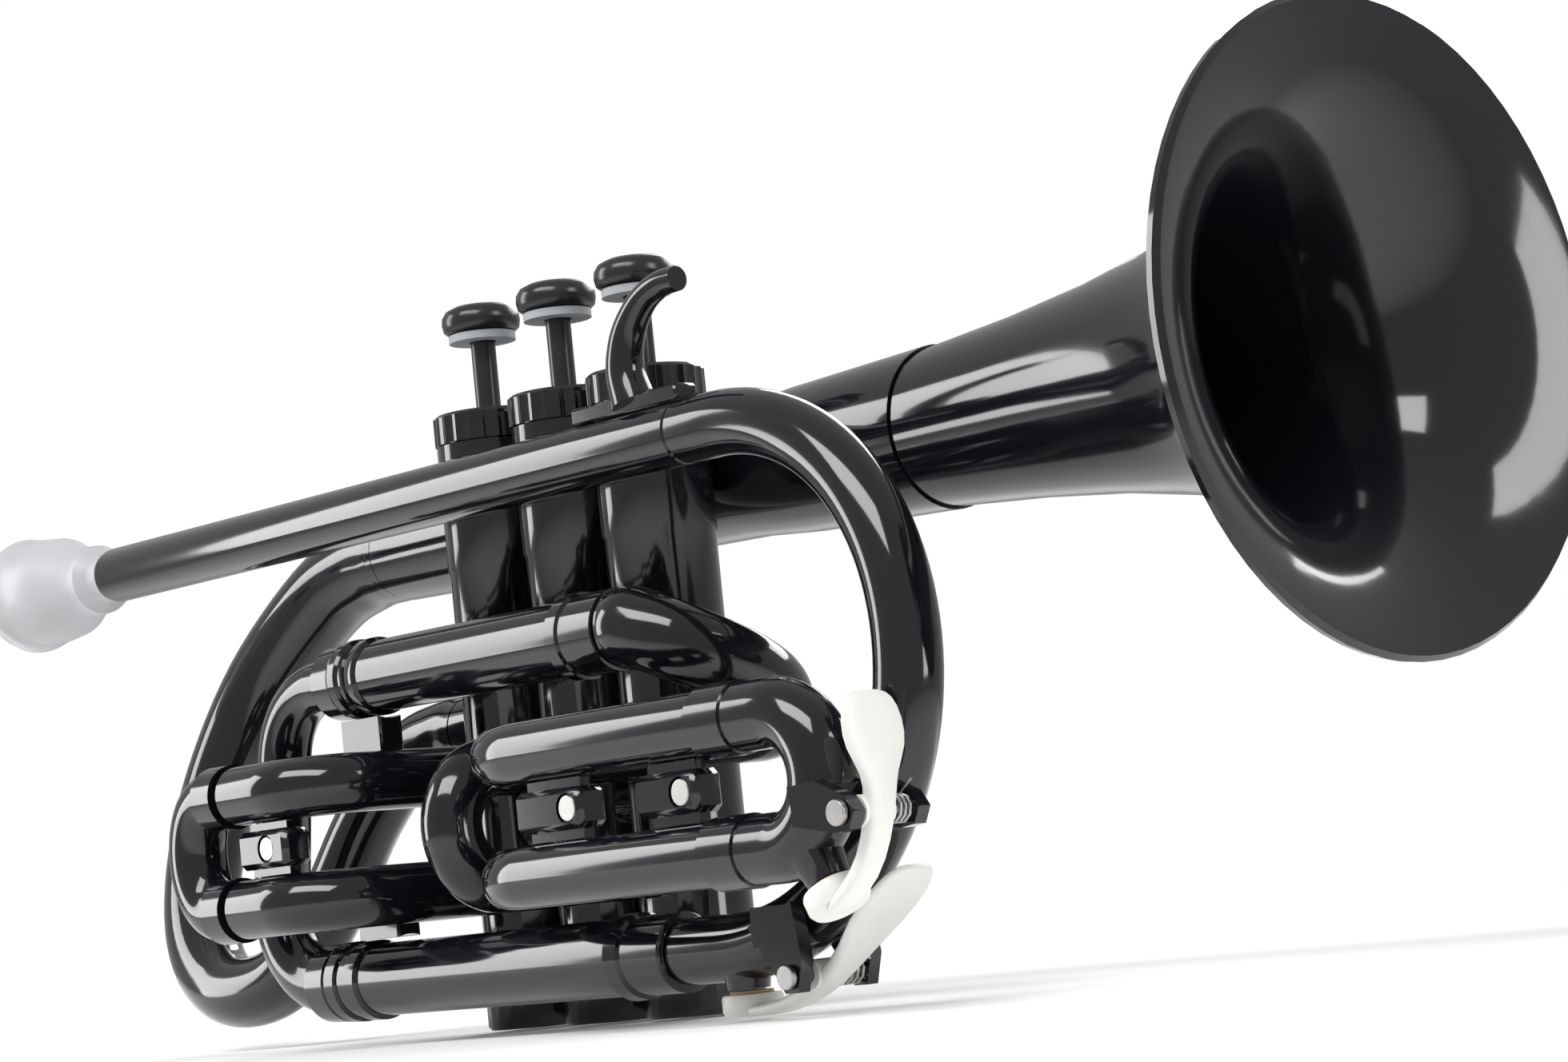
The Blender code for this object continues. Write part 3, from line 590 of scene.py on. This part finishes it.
turned(
    "bell_flare", bead + outer[1:] + list(reversed(inner[1:])),
    BLACK, (0.0, BELL_Y, BELL_Z), sides=24, axis="X",
)

# %% [markdown]
# ## Valves
# Each casing is a tube with short sockets for the slides. Inside it a piston, a guide and a
# spring move; a cap closes each end, and a button and its pad sit on the stem. The caps' grip
# ribs are drawn in on every second step of a turned wall.

# %% Valve casings, with their short port sockets
CAP_JOIN_Z = 12.4
SLIDE_SOCKETS = {
    1: (FIRST_Z, FIRST_R, 13.6), 2: (SECOND_Z, FIRST_R, 24.0), 3: (THIRD_Z, THIRD_R, 13.6),
}
for number, valve_x in enumerate(VALVE_X, 1):
    name = "valve_casing_%d" % number
    casing = turned(
        name,
        [
            (0, 16.2), (10.5, 16.2), (10.5, CAP_JOIN_Z), (COLLAR_R, CAP_JOIN_Z), (COLLAR_R, -14.6),
            (CASING_R, -15.4), (CASING_R, -102.4), (10.5, -102.4), (10.5, -108.0), (0, -108.0),
        ],
        BLACK, (valve_x, 0.0, 0.0), 16, "Z", False,
    )
    heights, slide_r, slide_reach = SLIDE_SOCKETS[number]
    slide_ports = [
        ("slide_%d" % i, (0, -1), z, slide_r, slide_reach) for i, z in enumerate(heights)
    ]
    sockets = {
        1: [("return", (-1, 0), RETURN_Z, 7.3, 15.8)] + slide_ports,
        2: slide_ports + [
            ("knuckle_%d" % s, (s, 0), -70.0, 6.0, VALVE_X[2] - 6.0) for s in (-1, 1)
        ],
        3: [("entry", (1, 0), ENTRY_Z, 7.3, 15.6)] + slide_ports,
    }[number]
    bores = []
    for tag, (dx, dy), z, radius, reach in sockets:
        start, end = (valve_x + dx * 4.0, dy * 4.0, z), (valve_x + dx * reach, dy * reach, z)
        join(casing, rod(name + "_" + tag, radius, start, end, sides=16))
        past = (valve_x + dx * (reach + 4.0), dy * (reach + 4.0), z)
        bores.append(rod(name + "_" + tag + "_bore", 5.15, (valve_x, 0.0, z), past, sides=12))
    if number == 2:
        for side_x in (VALVE_X[0], VALVE_X[2]):
            low, high = (side_x, 0, -90), (side_x, 0, -40)
            cut(casing, rod("%s_relief_%d" % (name, side_x), CASING_R + FIT, low, high, sides=16))
        bores = bores[:2]
    low, high = (valve_x, 0, -120), (valve_x, 0, 30)
    cut(casing, rod(name + "_bore", CASING_BORE_R, low, high, sides=16), *bores)


# %% Caps, pistons, buttons, guides and springs
def knurled(name, profile, valve_x, ribs=24, depth=0.55):
    """A turned cap whose outer wall is drawn in at every second step, which makes grip ribs."""
    obj = turned(name, profile, BLACK, (valve_x, 0.0, 0.0), ribs * 2 // FINER)
    bpy.context.view_layer.update()
    graph = bpy.context.evaluated_depsgraph_get()
    mesh = bpy.data.meshes.new_from_object(obj.evaluated_get(graph))
    obj.modifiers.clear()
    obj.data = mesh
    for vertex in mesh.vertices:
        radius = math.hypot(vertex.co.x, vertex.co.y) / MM
        step = round(math.atan2(vertex.co.y, vertex.co.x) / (math.pi / ribs))
        if radius > CAP_R - 0.1 and step % 2:
            vertex.co.x *= 1 - depth / radius
            vertex.co.y *= 1 - depth / radius
    return obj


for number, valve_x in enumerate(VALVE_X, 1):
    knurled(
        "top_cap_%d" % number,
        [
            (11.6, CAP_TOP_Z), (CAP_R, 18.6), (CAP_R, 12.8), (10.9, 12.8),
            (10.9, 16.6), (3.0, 16.6), (3.0, CAP_TOP_Z),
        ],
        valve_x,
    )
    knurled(
        "bottom_cap_%d" % number,
        [
            (10.9, -103.0), (CAP_R, -103.0), (CAP_R, -113.2), (11.7, FOOT_Z),
            (1.6, FOOT_Z), (1.6, -111.9), (10.9, -111.9),
        ],
        valve_x,
    )
    # The piston is one piece with its stem and the plate that its spring pushes
    piston = turned(
        "piston_%d" % number,
        [
            (0, 40.4), (STEM_R, 40.4), (STEM_R, 11.2), (6.4, 11.2), (6.4, 8.8), (STEM_R, 8.8),
            (STEM_R, -30.0), (PISTON_R, -30.0), (PISTON_R, -94.5), (0, -94.5),
        ],
        BUTTON_BLACK, (valve_x, 0.0, 0.0), 16, "Z", False,
    )
    cut(
        piston,
        rod("piston_%d_hole_b" % number, 4.6, (valve_x - 14, 0, -57.0), (valve_x + 14, 0, -57.0), sides=8),
        rod("piston_%d_hole_d" % number, 6.5, (valve_x, 0, -98), (valve_x, 0, -80.0), sides=12),
    )
    turned(
        "button_%d" % number,
        [
            (0, 43.5), (5.6, 43.1), (7.6, 42.2), (8.5, 40.8), (BUTTON_R, 39.4), (8.3, 37.9),
            (7.5, BUTTON_REST_Z), (3.0, BUTTON_REST_Z), (3.0, 40.8), (0, 40.8),
        ],
        BUTTON_BLACK, (valve_x, 0.0, 0.0), 18, "Z", False,
    )
    turned(
        "button_pad_%d" % number, [(7.3, 36.9), (7.3, 35.2), (3.0, 35.2), (3.0, 36.9)],
        GREY_PAD, (valve_x, 0.0, 0.0), 16,
    )
    turned(
        "valve_guide_%d" % number, [(9.4, -23.6), (9.4, -26.0), (3.0, -26.0), (3.0, -23.6)],
        WHITE, (valve_x, 0.0, 0.0), 16,
    )
    turned(
        "valve_spring_%d" % number, [(5.4, 8.4), (5.4, -23.2), (4.2, -23.2), (4.2, 8.4)],
        STEEL, (valve_x, 0.0, 0.0), 12,
    )

# %% [markdown]
# ## Valve slides
# Each valve has a small loop of tube that draws out for tuning. The tubes stay on the casing,
# and a U with thinner legs slides in them, so the legs show when it is drawn.

# %% First slide: its bow draws back towards the mouthpiece
for tag, z in zip(("upper", "lower"), FIRST_Z):
    corners = [(VALVE_X[0], -13.9, z), (VALVE_X[0], FIRST_Y, z), (-53.0, FIRST_Y, z)]
    path = filleted(corners, 14.0, steps=6)
    hollow("first_tube_" + tag, path, FIRST_R, 5.15, BLACK, 12, 12)


def slide_bow(name, out, y, heights, depth, start, collar, collar_end, bend_x, radii):
    """A U with two thin legs, two collars and a bend; out is +1 or -1 along x."""
    leg_r, collar_r, bend_r = radii
    high, low = heights
    bend = (high - low) / 2
    top = [
        (start, leg_r), (collar, leg_r), (collar + out * 0.1, collar_r),
        (collar_end, collar_r), (collar_end + out * 0.1, bend_r),
    ]
    path = [Vector((x, y, high)) for x, _ in top]
    sizes = [r for _, r in top]
    middle_z = (high + low) / 2
    for step in range(BEND_STEPS + 1):
        angle = math.pi / 2 - math.pi * step / BEND_STEPS
        x = bend_x + out * depth * math.cos(angle)
        path.append(Vector((x, y, middle_z + bend * math.sin(angle))))
        sizes.append(bend_r)
    path += [Vector((x, y, low)) for x, _ in reversed(top)]
    sizes += [r for _, r in reversed(top)]
    body = pipe(name, path, sizes, BLACK, 12)
    inner_path = [path[0]] + path[5:-5] + [path[-1]]
    return cut(body, pipe(name + "_bore", longer(inner_path), leg_r - 0.9, None, 6))


slide_bow(
    "first_slide", -1, FIRST_Y, FIRST_Z, 8.6, -41.0, -55.0, -62.0, -62.4, (4.8, 6.9, 6.2),
)

# %% Second slide: a short bow between the two sockets of the second valve
second_path = filleted(
    [
        (0.0, -13.0, SECOND_Z[0]), (0.0, -40.4, SECOND_Z[0]),
        (0.0, -40.4, SECOND_Z[1]), (0.0, -13.0, SECOND_Z[1]),
    ],
    11.85, steps=7,
)
second_path.insert(1, Vector((0.0, -24.3, SECOND_Z[0])))
second_path.insert(2, Vector((0.0, -24.4, SECOND_Z[0])))
second_path.insert(-1, Vector((0.0, -24.4, SECOND_Z[1])))
second_path.insert(-1, Vector((0.0, -24.3, SECOND_Z[1])))
second_radii = [4.8, 4.8] + [6.3] * (len(second_path) - 4) + [4.8, 4.8]
second = pipe("second_slide", second_path, second_radii, BLACK, 12)
second_inner = longer([second_path[0]] + second_path[3:-3] + [second_path[-1]])
cut(second, pipe("second_slide_bore", second_inner, 3.9, None, 6))

# %% Third slide: its bow draws forward and carries a water key
for tag, z in zip(("upper", "lower"), THIRD_Z):
    corners = [(VALVE_X[2], -13.9, z), (VALVE_X[2], THIRD_Y, z), (101.0, THIRD_Y, z)]
    path = filleted(corners, 19.0, steps=7)
    hollow("third_tube_" + tag, path, THIRD_R, 5.0, BLACK, 12, 12)
third = slide_bow(
    "third_slide", 1, THIRD_Y, THIRD_Z, 12.0, 64.0, 101.3, 110.8, 118.0, (4.7, 6.8, 6.4),
)
px, py, pz = SLIDE_KEY
SLIDE_CUP_LEAN = math.radians(-28.0)
ear = [
    (130.0, -73.5), (137.0, -73.0), (144.4, -76.2), (146.4, -79.0),
    (144.8, -82.0), (141.6, -82.4), (131.0, -80.5),
]
nipple = turned(
    "slide_nipple", [(0, 6), (5.0, 6), (4.0, 0), (0, 0)],
    None, (129.0, THIRD_Y, -90.5), 12, "Z", False,
)
nipple.rotation_euler = (0.0, SLIDE_CUP_LEAN, 0.0)
join(
    third,
    block("slide_saddle", (129.0, -64.0, -80.5), (136.5, -48.6, -73.8)),
    plate("slide_ear_near", ear, -65.4, -62.6),
    plate("slide_ear_far", ear, -50.0, -47.2),
    nipple,
)
cut(
    third,
    rod("slide_key_bore", 1.35, (px, -72, pz), (px, -40, pz), sides=10),
    rod("slide_nipple_bore", 1.5, (126.0, THIRD_Y, -84.9), (131.2, THIRD_Y, -94.7), sides=8),
)


# %% [markdown]
# ## Water keys
# A water key is a sprung lever: a finger paddle, a pivot and a cup with a soft seal that shuts
# the drain nipple. The lever is lofted through stations, since it is wide and thin at the
# paddle and narrow at the pivot.

# %% Cork, pivot screw and spring
def cork(name, y, cup, lean):
    """The soft seal in a key's cup, which presses on the nipple."""
    cx, cz = cup
    seal = turned(
        name, [(0, 2.9), (4.2, 2.9), (4.2, 0.5), (0, 0.5)],
        CORK, (cx, y, cz), 14, "Z", False,
    )
    seal.rotation_euler = (0.0, lean, 0.0)


def pivot_screw(name, pivot, near_y, far_y):
    """A round head and a plain shank through both ears and the lever."""
    x, _, z = pivot
    depth = near_y - far_y
    turned(
        name, [(0, 1.2), (2.3, 1.2), (2.3, 0.0), (1.15, 0.0), (1.15, depth), (0, depth)],
        STEEL, (x, near_y, z), 12, "-Y", False,
    )


def pivot_spring(name, pivot, start_y, end_y, legs):
    """A torsion spring round the pivot: curls of thin wire with two straight legs."""
    x, _, z = pivot
    curls, wire_r, curl_r = 3, 0.32, 2.5
    path = [Vector((x + legs[0][0], start_y, z + legs[0][1]))]
    for step in range(curls * 9 + 1):
        angle = 2 * math.pi * step / 9 + legs[2]
        y = start_y + (end_y - start_y) * step / (curls * 9)
        path.append(Vector((x + curl_r * math.cos(angle), y, z + curl_r * math.sin(angle))))
    path.append(Vector((x + legs[1][0], end_y, z + legs[1][1])))
    gap = abs(end_y - start_y) / curls - 2 * wire_r
    print("%s: least gap between curls %.2f mm" % (name, gap))
    pipe(name, path, wire_r, STEEL, 6)


SLIDE_CUP = (px - 12.5, pz - 14.3)
BOW_CUP = (74.5, -111.8)
BOW_CUP_LEAN = 0.0
cork("slide_key_cork", py, SLIDE_CUP, SLIDE_CUP_LEAN)
cork("bow_key_cork", ky, BOW_CUP, BOW_CUP_LEAN)
pivot_screw("slide_key_screw", SLIDE_KEY, -65.6, -47.0)
pivot_screw("bow_key_screw", BOW_KEY, -39.6, -19.0)
pivot_spring("slide_key_spring", SLIDE_KEY, -54.2, -50.9, ((-4.4, 2.6), (3.2, 5.0), math.pi / 2))
pivot_spring("bow_key_spring", BOW_KEY, -27.0, -22.8, ((-4.0, 2.0), (4.0, 2.0), math.pi / 2))

# %% Finger hook on a saddle along the leadpipe
hook = block("pinky_hook", (33.0, -26.2, 6.0), (66.0, -20.3, 9.6), BLACK, 0.6)
horn, horn_r = flowing([
    (50.0, LEAD_Y, 8.0, 4.6), (48.2, LEAD_Y, 15.0, 4.0), (50.0, LEAD_Y, 22.0, 3.5),
    (55.0, LEAD_Y, 27.5, 3.0), (61.0, LEAD_Y, 30.0, 2.7), (66.5, LEAD_Y, 30.2, 2.5),
], 2)
join(hook, pipe("hook_horn", horn, horn_r, None, 12))
cut(hook, rod("hook_relief", LEAD_R + FIT, (20, LEAD_Y, 0), (64.6, LEAD_Y, 0), sides=20))
cut(hook, rod("hook_bow_relief", BOW_R + FIT, (60, LEAD_Y, 0), (90, LEAD_Y, 0), sides=20))

# %% Braces between tubes, three of them with a screw
BRACES = {
    "first_brace": (-50.5, -33.0, FIRST_Y, FIRST_Z, FIRST_R, -40.0),
    "third_brace_rear": (46.0, 66.0, THIRD_Y, THIRD_Z, THIRD_R, 62.0),
    "third_brace_front": (82.0, 99.5, THIRD_Y, THIRD_Z, THIRD_R, 95.0),
}
for name, (low_x, high_x, y, (high, low), radius, screw_x) in BRACES.items():
    middle = (high + low) / 2
    body = block(name, (low_x, y - 3.6, middle - 4.0), (high_x, y + 3.6, middle + 4.0), BLACK, 1.2)
    web_low = (low_x + 2, y - 1.2, low + radius - 1.5)
    web_high = (high_x - 2, y + 1.2, high - radius + 1.5)
    join(body, block(name + "_web", web_low, web_high))
    cut(
        body,
        rod(name + "_above", radius + FIT, (low_x - 5, y, high), (high_x + 5, y, high), sides=24),
        rod(name + "_below", radius + FIT, (low_x - 5, y, low), (high_x + 5, y, low), sides=24),
        rod(name + "_seat", 2.9, (screw_x, y - 9, middle), (screw_x, y - 1.8, middle), sides=12),
    )
    rod(name + "_screw", 2.5, (screw_x, y - 3.4, middle), (screw_x, y - 2.1, middle), STEEL, 12)
TUBE_BRACE_X = (-46.0, -31.5)
COLLAR_SEAT_R = 9.1
low_x, high_x = TUBE_BRACE_X
for name, low_z, high_z, tube_z, port_z in (
    ("upper_brace", -54.0, -42.0, UPPER_Z, FIRST_Z[0]),
    ("lower_brace", -95.0, -88.0, LOWER_Z, FIRST_Z[1]),
):
    body = block(
        name, (low_x, LOOP_Y - 3.0, low_z), (high_x, LOOP_Y + 3.0, high_z), BLACK, 0.5,
    )
    start, end = (low_x - 5, LOOP_Y, tube_z), (high_x + 5, LOOP_Y, tube_z)
    cut(body, rod(name + "_tube", COLLAR_SEAT_R, start, end, sides=24))
    port = [
        (VALVE_X[0], -12.0, port_z), (VALVE_X[0], FIRST_Y, port_z), (-60.0, FIRST_Y, port_z),
    ]
    cut(body, pipe(name + "_port", filleted(port, 14.0, 6), FIRST_R + FIT, None, 16))
rod("bell_brace", 2.6, (70.0, -15.6, 0.0), (70.0, 9.5, -1.0), BLACK, 12)


# %% Water-key levers: a leaf-shaped paddle, a waist at the pivot and a round cup
LEVER_SIDES = 16
SQUARENESS = 0.7
LEVER_SET_IN = 1.8


def lever(node, pivot, stations, cup, lean):
    """stations: (x, z, half width, half thickness) about the pivot, from paddle to cup."""
    x0, y0, z0 = pivot
    y0 -= LEVER_SET_IN
    mesh = bpy.data.meshes.new(node)
    form = bmesh.new()
    rings = []
    for index, (x, z, wide, thick) in enumerate(stations):
        before = stations[max(index - 1, 0)]
        after = stations[min(index + 1, len(stations) - 1)]
        along = Vector((after[0] - before[0], 0.0, after[1] - before[1])).normalized()
        across = Vector((along.z, 0.0, -along.x))
        ring = []
        for step in range(LEVER_SIDES):
            angle = 2 * math.pi * step / LEVER_SIDES
            c, s = math.cos(angle), math.sin(angle)
            side = Vector((0.0, 1.0, 0.0)) * wide * math.copysign(abs(c) ** SQUARENESS, c)
            face_on = across * thick * math.copysign(abs(s) ** SQUARENESS, s)
            ring.append(form.verts.new((Vector((x, 0.0, z)) + side + face_on) * MM))
        rings.append(ring)
    for a, b in zip(rings, rings[1:]):
        for i in range(LEVER_SIDES):
            k = (i + 1) % LEVER_SIDES
            form.faces.new((a[i], a[k], b[k], b[i]))
    form.faces.new(rings[0])
    form.faces.new(list(reversed(rings[-1])))
    bmesh.ops.recalc_face_normals(form, faces=form.faces[:])
    form.to_mesh(mesh)
    form.free()
    body = place(node, mesh, WHITE, (x0, y0, z0))
    round_it = body.modifiers.new("round", "SUBSURF")
    round_it.levels = 1
    round_it.render_levels = 1
    hub = rod(node + "_hub", 2.8, (x0, y0 - 3.6, z0), (x0, y0 + 3.4, z0), sides=14)
    cx, cz = cup
    dome = turned(
        node + "_cup", [(0, 2.2), (5.6, 2.2), (5.9, 1.6), (5.9, -0.9), (5.3, -1.8), (0, -2.1)],
        None, (cx, y0 + LEVER_SET_IN, cz), 16, "Z", False,
    )
    dome.rotation_euler = (0.0, lean, 0.0)
    join(body, hub, dome)
    cut(body, rod(node + "_bore", 1.35, (x0, y0 - 12, z0), (x0, y0 + 12, z0), sides=10))
    socket = turned(
        node + "_socket", [(0, 6.0), (4.6, 6.0), (4.6, 0.2), (0, 0.2)],
        None, (cx, y0 + LEVER_SET_IN, cz), 14, "Z", False,
    )
    socket.rotation_euler = (0.0, lean, 0.0)
    cut(body, socket)


lever(
    "slide_key", SLIDE_KEY,
    [
        (1.5, 20.6, 3.2, 0.7), (2.0, 19.4, 5.8, 1.2), (2.4, 15.5, 7.4, 1.3),
        (2.8, 10.5, 7.2, 1.4), (3.0, 6.4, 3.8, 1.6), (2.6, 1.5, 2.9, 2.2),
        (0.6, -5.0, 2.8, 1.9), (-3.0, -11.0, 3.0, 1.6), (-10.0, -15.8, 3.4, 1.2),
        (-11.5, -16.6, 2.0, 0.6),
    ],
    SLIDE_CUP, SLIDE_CUP_LEAN,
)
lever(
    "bow_key", BOW_KEY,
    [
        (27.6, 17.9, 3.2, 0.7), (26.4, 17.0, 5.8, 1.2), (22.0, 13.6, 7.4, 1.4),
        (15.5, 8.8, 7.2, 1.4), (9.5, 4.0, 4.2, 1.6), (3.0, -0.6, 3.0, 2.0),
        (-6.0, -4.6, 3.0, 1.6), (-14.0, -5.9, 3.2, 1.2), (-22.0, -6.0, 3.4, 1.0),
    ],
    BOW_CUP, BOW_CUP_LEAN,
)

# %% [markdown]
# ## Put the fine pieces on the moving bodies
# Each modifier is applied, the cutters go, the edges of the keys, the finger hook and the braces get a
# small round, and each piece then stands for the plain piece of the same name.

# %% Finish every piece and hand it to its body
graph = bpy.context.evaluated_depsgraph_get()
bpy.context.view_layer.update()
made = {obj.name[len("look_"):]: obj for obj in parts.objects}
for obj in made.values():
    solid = bpy.data.meshes.new_from_object(obj.evaluated_get(graph))
    solid.name = obj.name
    obj["solid"] = solid.name
for obj in made.values():
    obj.modifiers.clear()
    obj.data = bpy.data.meshes[obj["solid"]]
    del obj["solid"]
for tool in list(cutters.objects):
    bpy.data.objects.remove(tool, do_unlink=True)

EDGE_ROUND = 0.25 * MM
EDGE_ANGLE = math.radians(38)
EDGED = (
    "slide_key", "bow_key", "pinky", "first_brace", "third_brace", "upper_brace", "lower_brace",
)
body_of_node = {}
for body, nodes in frame["record"]["behaviour"]["bodies"].items():
    for node in nodes:
        body_of_node[node] = body
for node, obj in made.items():
    obj.data.shade_smooth()
    obj.data.set_sharp_from_angle(angle=EDGE_ANGLE)
    if node.startswith(EDGED) and "spring" not in node:
        soften = obj.modifiers.new("edge", "BEVEL")
        soften.width = EDGE_ROUND
        soften.segments = 3
        soften.limit_method = "ANGLE"
        soften.angle_limit = EDGE_ANGLE
        soften.harden_normals = True
    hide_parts(node)
    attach(obj, body_of_node[node])

# %% [markdown]
# ## Floor, light and camera
# The picture has a white surround and a soft shadow. The floor is a pale sheet that fades out
# away from the object, so no edge shows, and the world is white for the camera only, so that
# the black plastic keeps dark parts between its bright streaks. Each softbox makes one streak.
# The camera stands where the outlines of the photograph put it.

# %% Floor
FADE_FROM, FADE_TO = 0.22, 0.55
bpy.ops.mesh.primitive_plane_add(size=8.0, location=(0.0, 0.0, -0.0006))
floor = bpy.context.object
floor.name = "floor"
paper = bpy.data.materials.new("paper")
paper.use_nodes = True
papers = paper.node_tree.nodes
sheet = papers["Principled BSDF"]
sheet.inputs["Base Color"].default_value = (0.9, 0.9, 0.9, 1.0)
sheet.inputs["Roughness"].default_value = 0.9
sheet.inputs["Emission Color"].default_value = (1.0, 1.0, 1.0, 1.0)
sheet.inputs["Emission Strength"].default_value = 0.1
wire = paper.node_tree.links.new
spread = papers.new("ShaderNodeNewGeometry")
away = papers.new("ShaderNodeVectorMath")
away.operation = "LENGTH"
fade = papers.new("ShaderNodeMapRange")
fade.inputs["From Min"].default_value = FADE_FROM
fade.inputs["From Max"].default_value = FADE_TO
nothing = papers.new("ShaderNodeBsdfTransparent")
blend_out = papers.new("ShaderNodeMixShader")
wire(spread.outputs["Position"], away.inputs[0])
wire(away.outputs["Value"], fade.inputs["Value"])
wire(fade.outputs["Result"], blend_out.inputs[0])
wire(sheet.outputs[0], blend_out.inputs[1])
wire(nothing.outputs[0], blend_out.inputs[2])
wire(blend_out.outputs[0], papers["Material Output"].inputs["Surface"])
floor.data.materials.append(paper)

# %% Light: a white surround for the eye, a dimmer one for reflections, and softboxes
REFLECTED_STRENGTH = 0.42
world = bpy.data.worlds.new("studio")
bpy.context.scene.world = world
world.use_nodes = True
sky = world.node_tree.nodes
join_up = world.node_tree.links.new
seen = sky.new("ShaderNodeLightPath")
dim = sky.new("ShaderNodeMix")
dim.data_type = "FLOAT"
dim.inputs[2].default_value = REFLECTED_STRENGTH
dim.inputs[3].default_value = 1.0
join_up(seen.outputs["Is Camera Ray"], dim.inputs[0])
join_up(dim.outputs[0], sky["Background"].inputs["Strength"])
sky["Background"].inputs["Color"].default_value = (1.0, 1.0, 1.0, 1.0)


OBJECT_MIDDLE = Vector((0.0, 0.0, 0.09))


def softbox(name, where, size, power):
    """A rectangular lamp that faces the middle of the object."""
    light = bpy.data.lights.new(name, "AREA")
    light.shape = "RECTANGLE"
    light.size, light.size_y = size
    light.energy = power
    lamp = bpy.data.objects.new(name, light)
    lamp.location = where
    towards = OBJECT_MIDDLE - Vector(where)
    lamp.rotation_euler = towards.to_track_quat("-Z", "Y").to_euler()
    bpy.context.scene.collection.objects.link(lamp)


softbox("key", (0.2, -0.9, 1.1), (1.2, 0.5), 14.0)
softbox("left", (-1.1, -0.7, 0.4), (0.4, 1.0), 7.0)
softbox("right", (1.4, 0.3, 0.5), (0.4, 1.1), 9.0)
softbox("back", (-0.3, 1.2, 0.8), (1.4, 0.5), 10.0)

# %% Camera: the place, aim and focal length worked out from the photograph's outlines
FRAME_WIDTH_PX = 1960.0
FOCAL_PX = 4559.0
SENSOR_MM = 36.0
EYE = (598.36, -488.1, -93.55)
SIGHT = Vector((-0.73418, 0.67133, 0.10147))
RIGHT = Vector((0.66375, 0.74113, -0.10083))
lens = bpy.data.cameras.new("camera")
lens.sensor_fit = "HORIZONTAL"
lens.sensor_width = SENSOR_MM
lens.lens = SENSOR_MM * FOCAL_PX / FRAME_WIDTH_PX
lens.clip_start = 0.01
camera = bpy.data.objects.new("camera", lens)
bpy.context.scene.collection.objects.link(camera)
above = RIGHT.cross(SIGHT).normalized()
aim = Matrix((RIGHT, above, -SIGHT)).transposed().to_4x4()
camera.matrix_world = Matrix.Translation(spot(*EYE)) @ aim
bpy.context.scene.camera = camera
bpy.context.scene.view_settings.view_transform = "Standard"
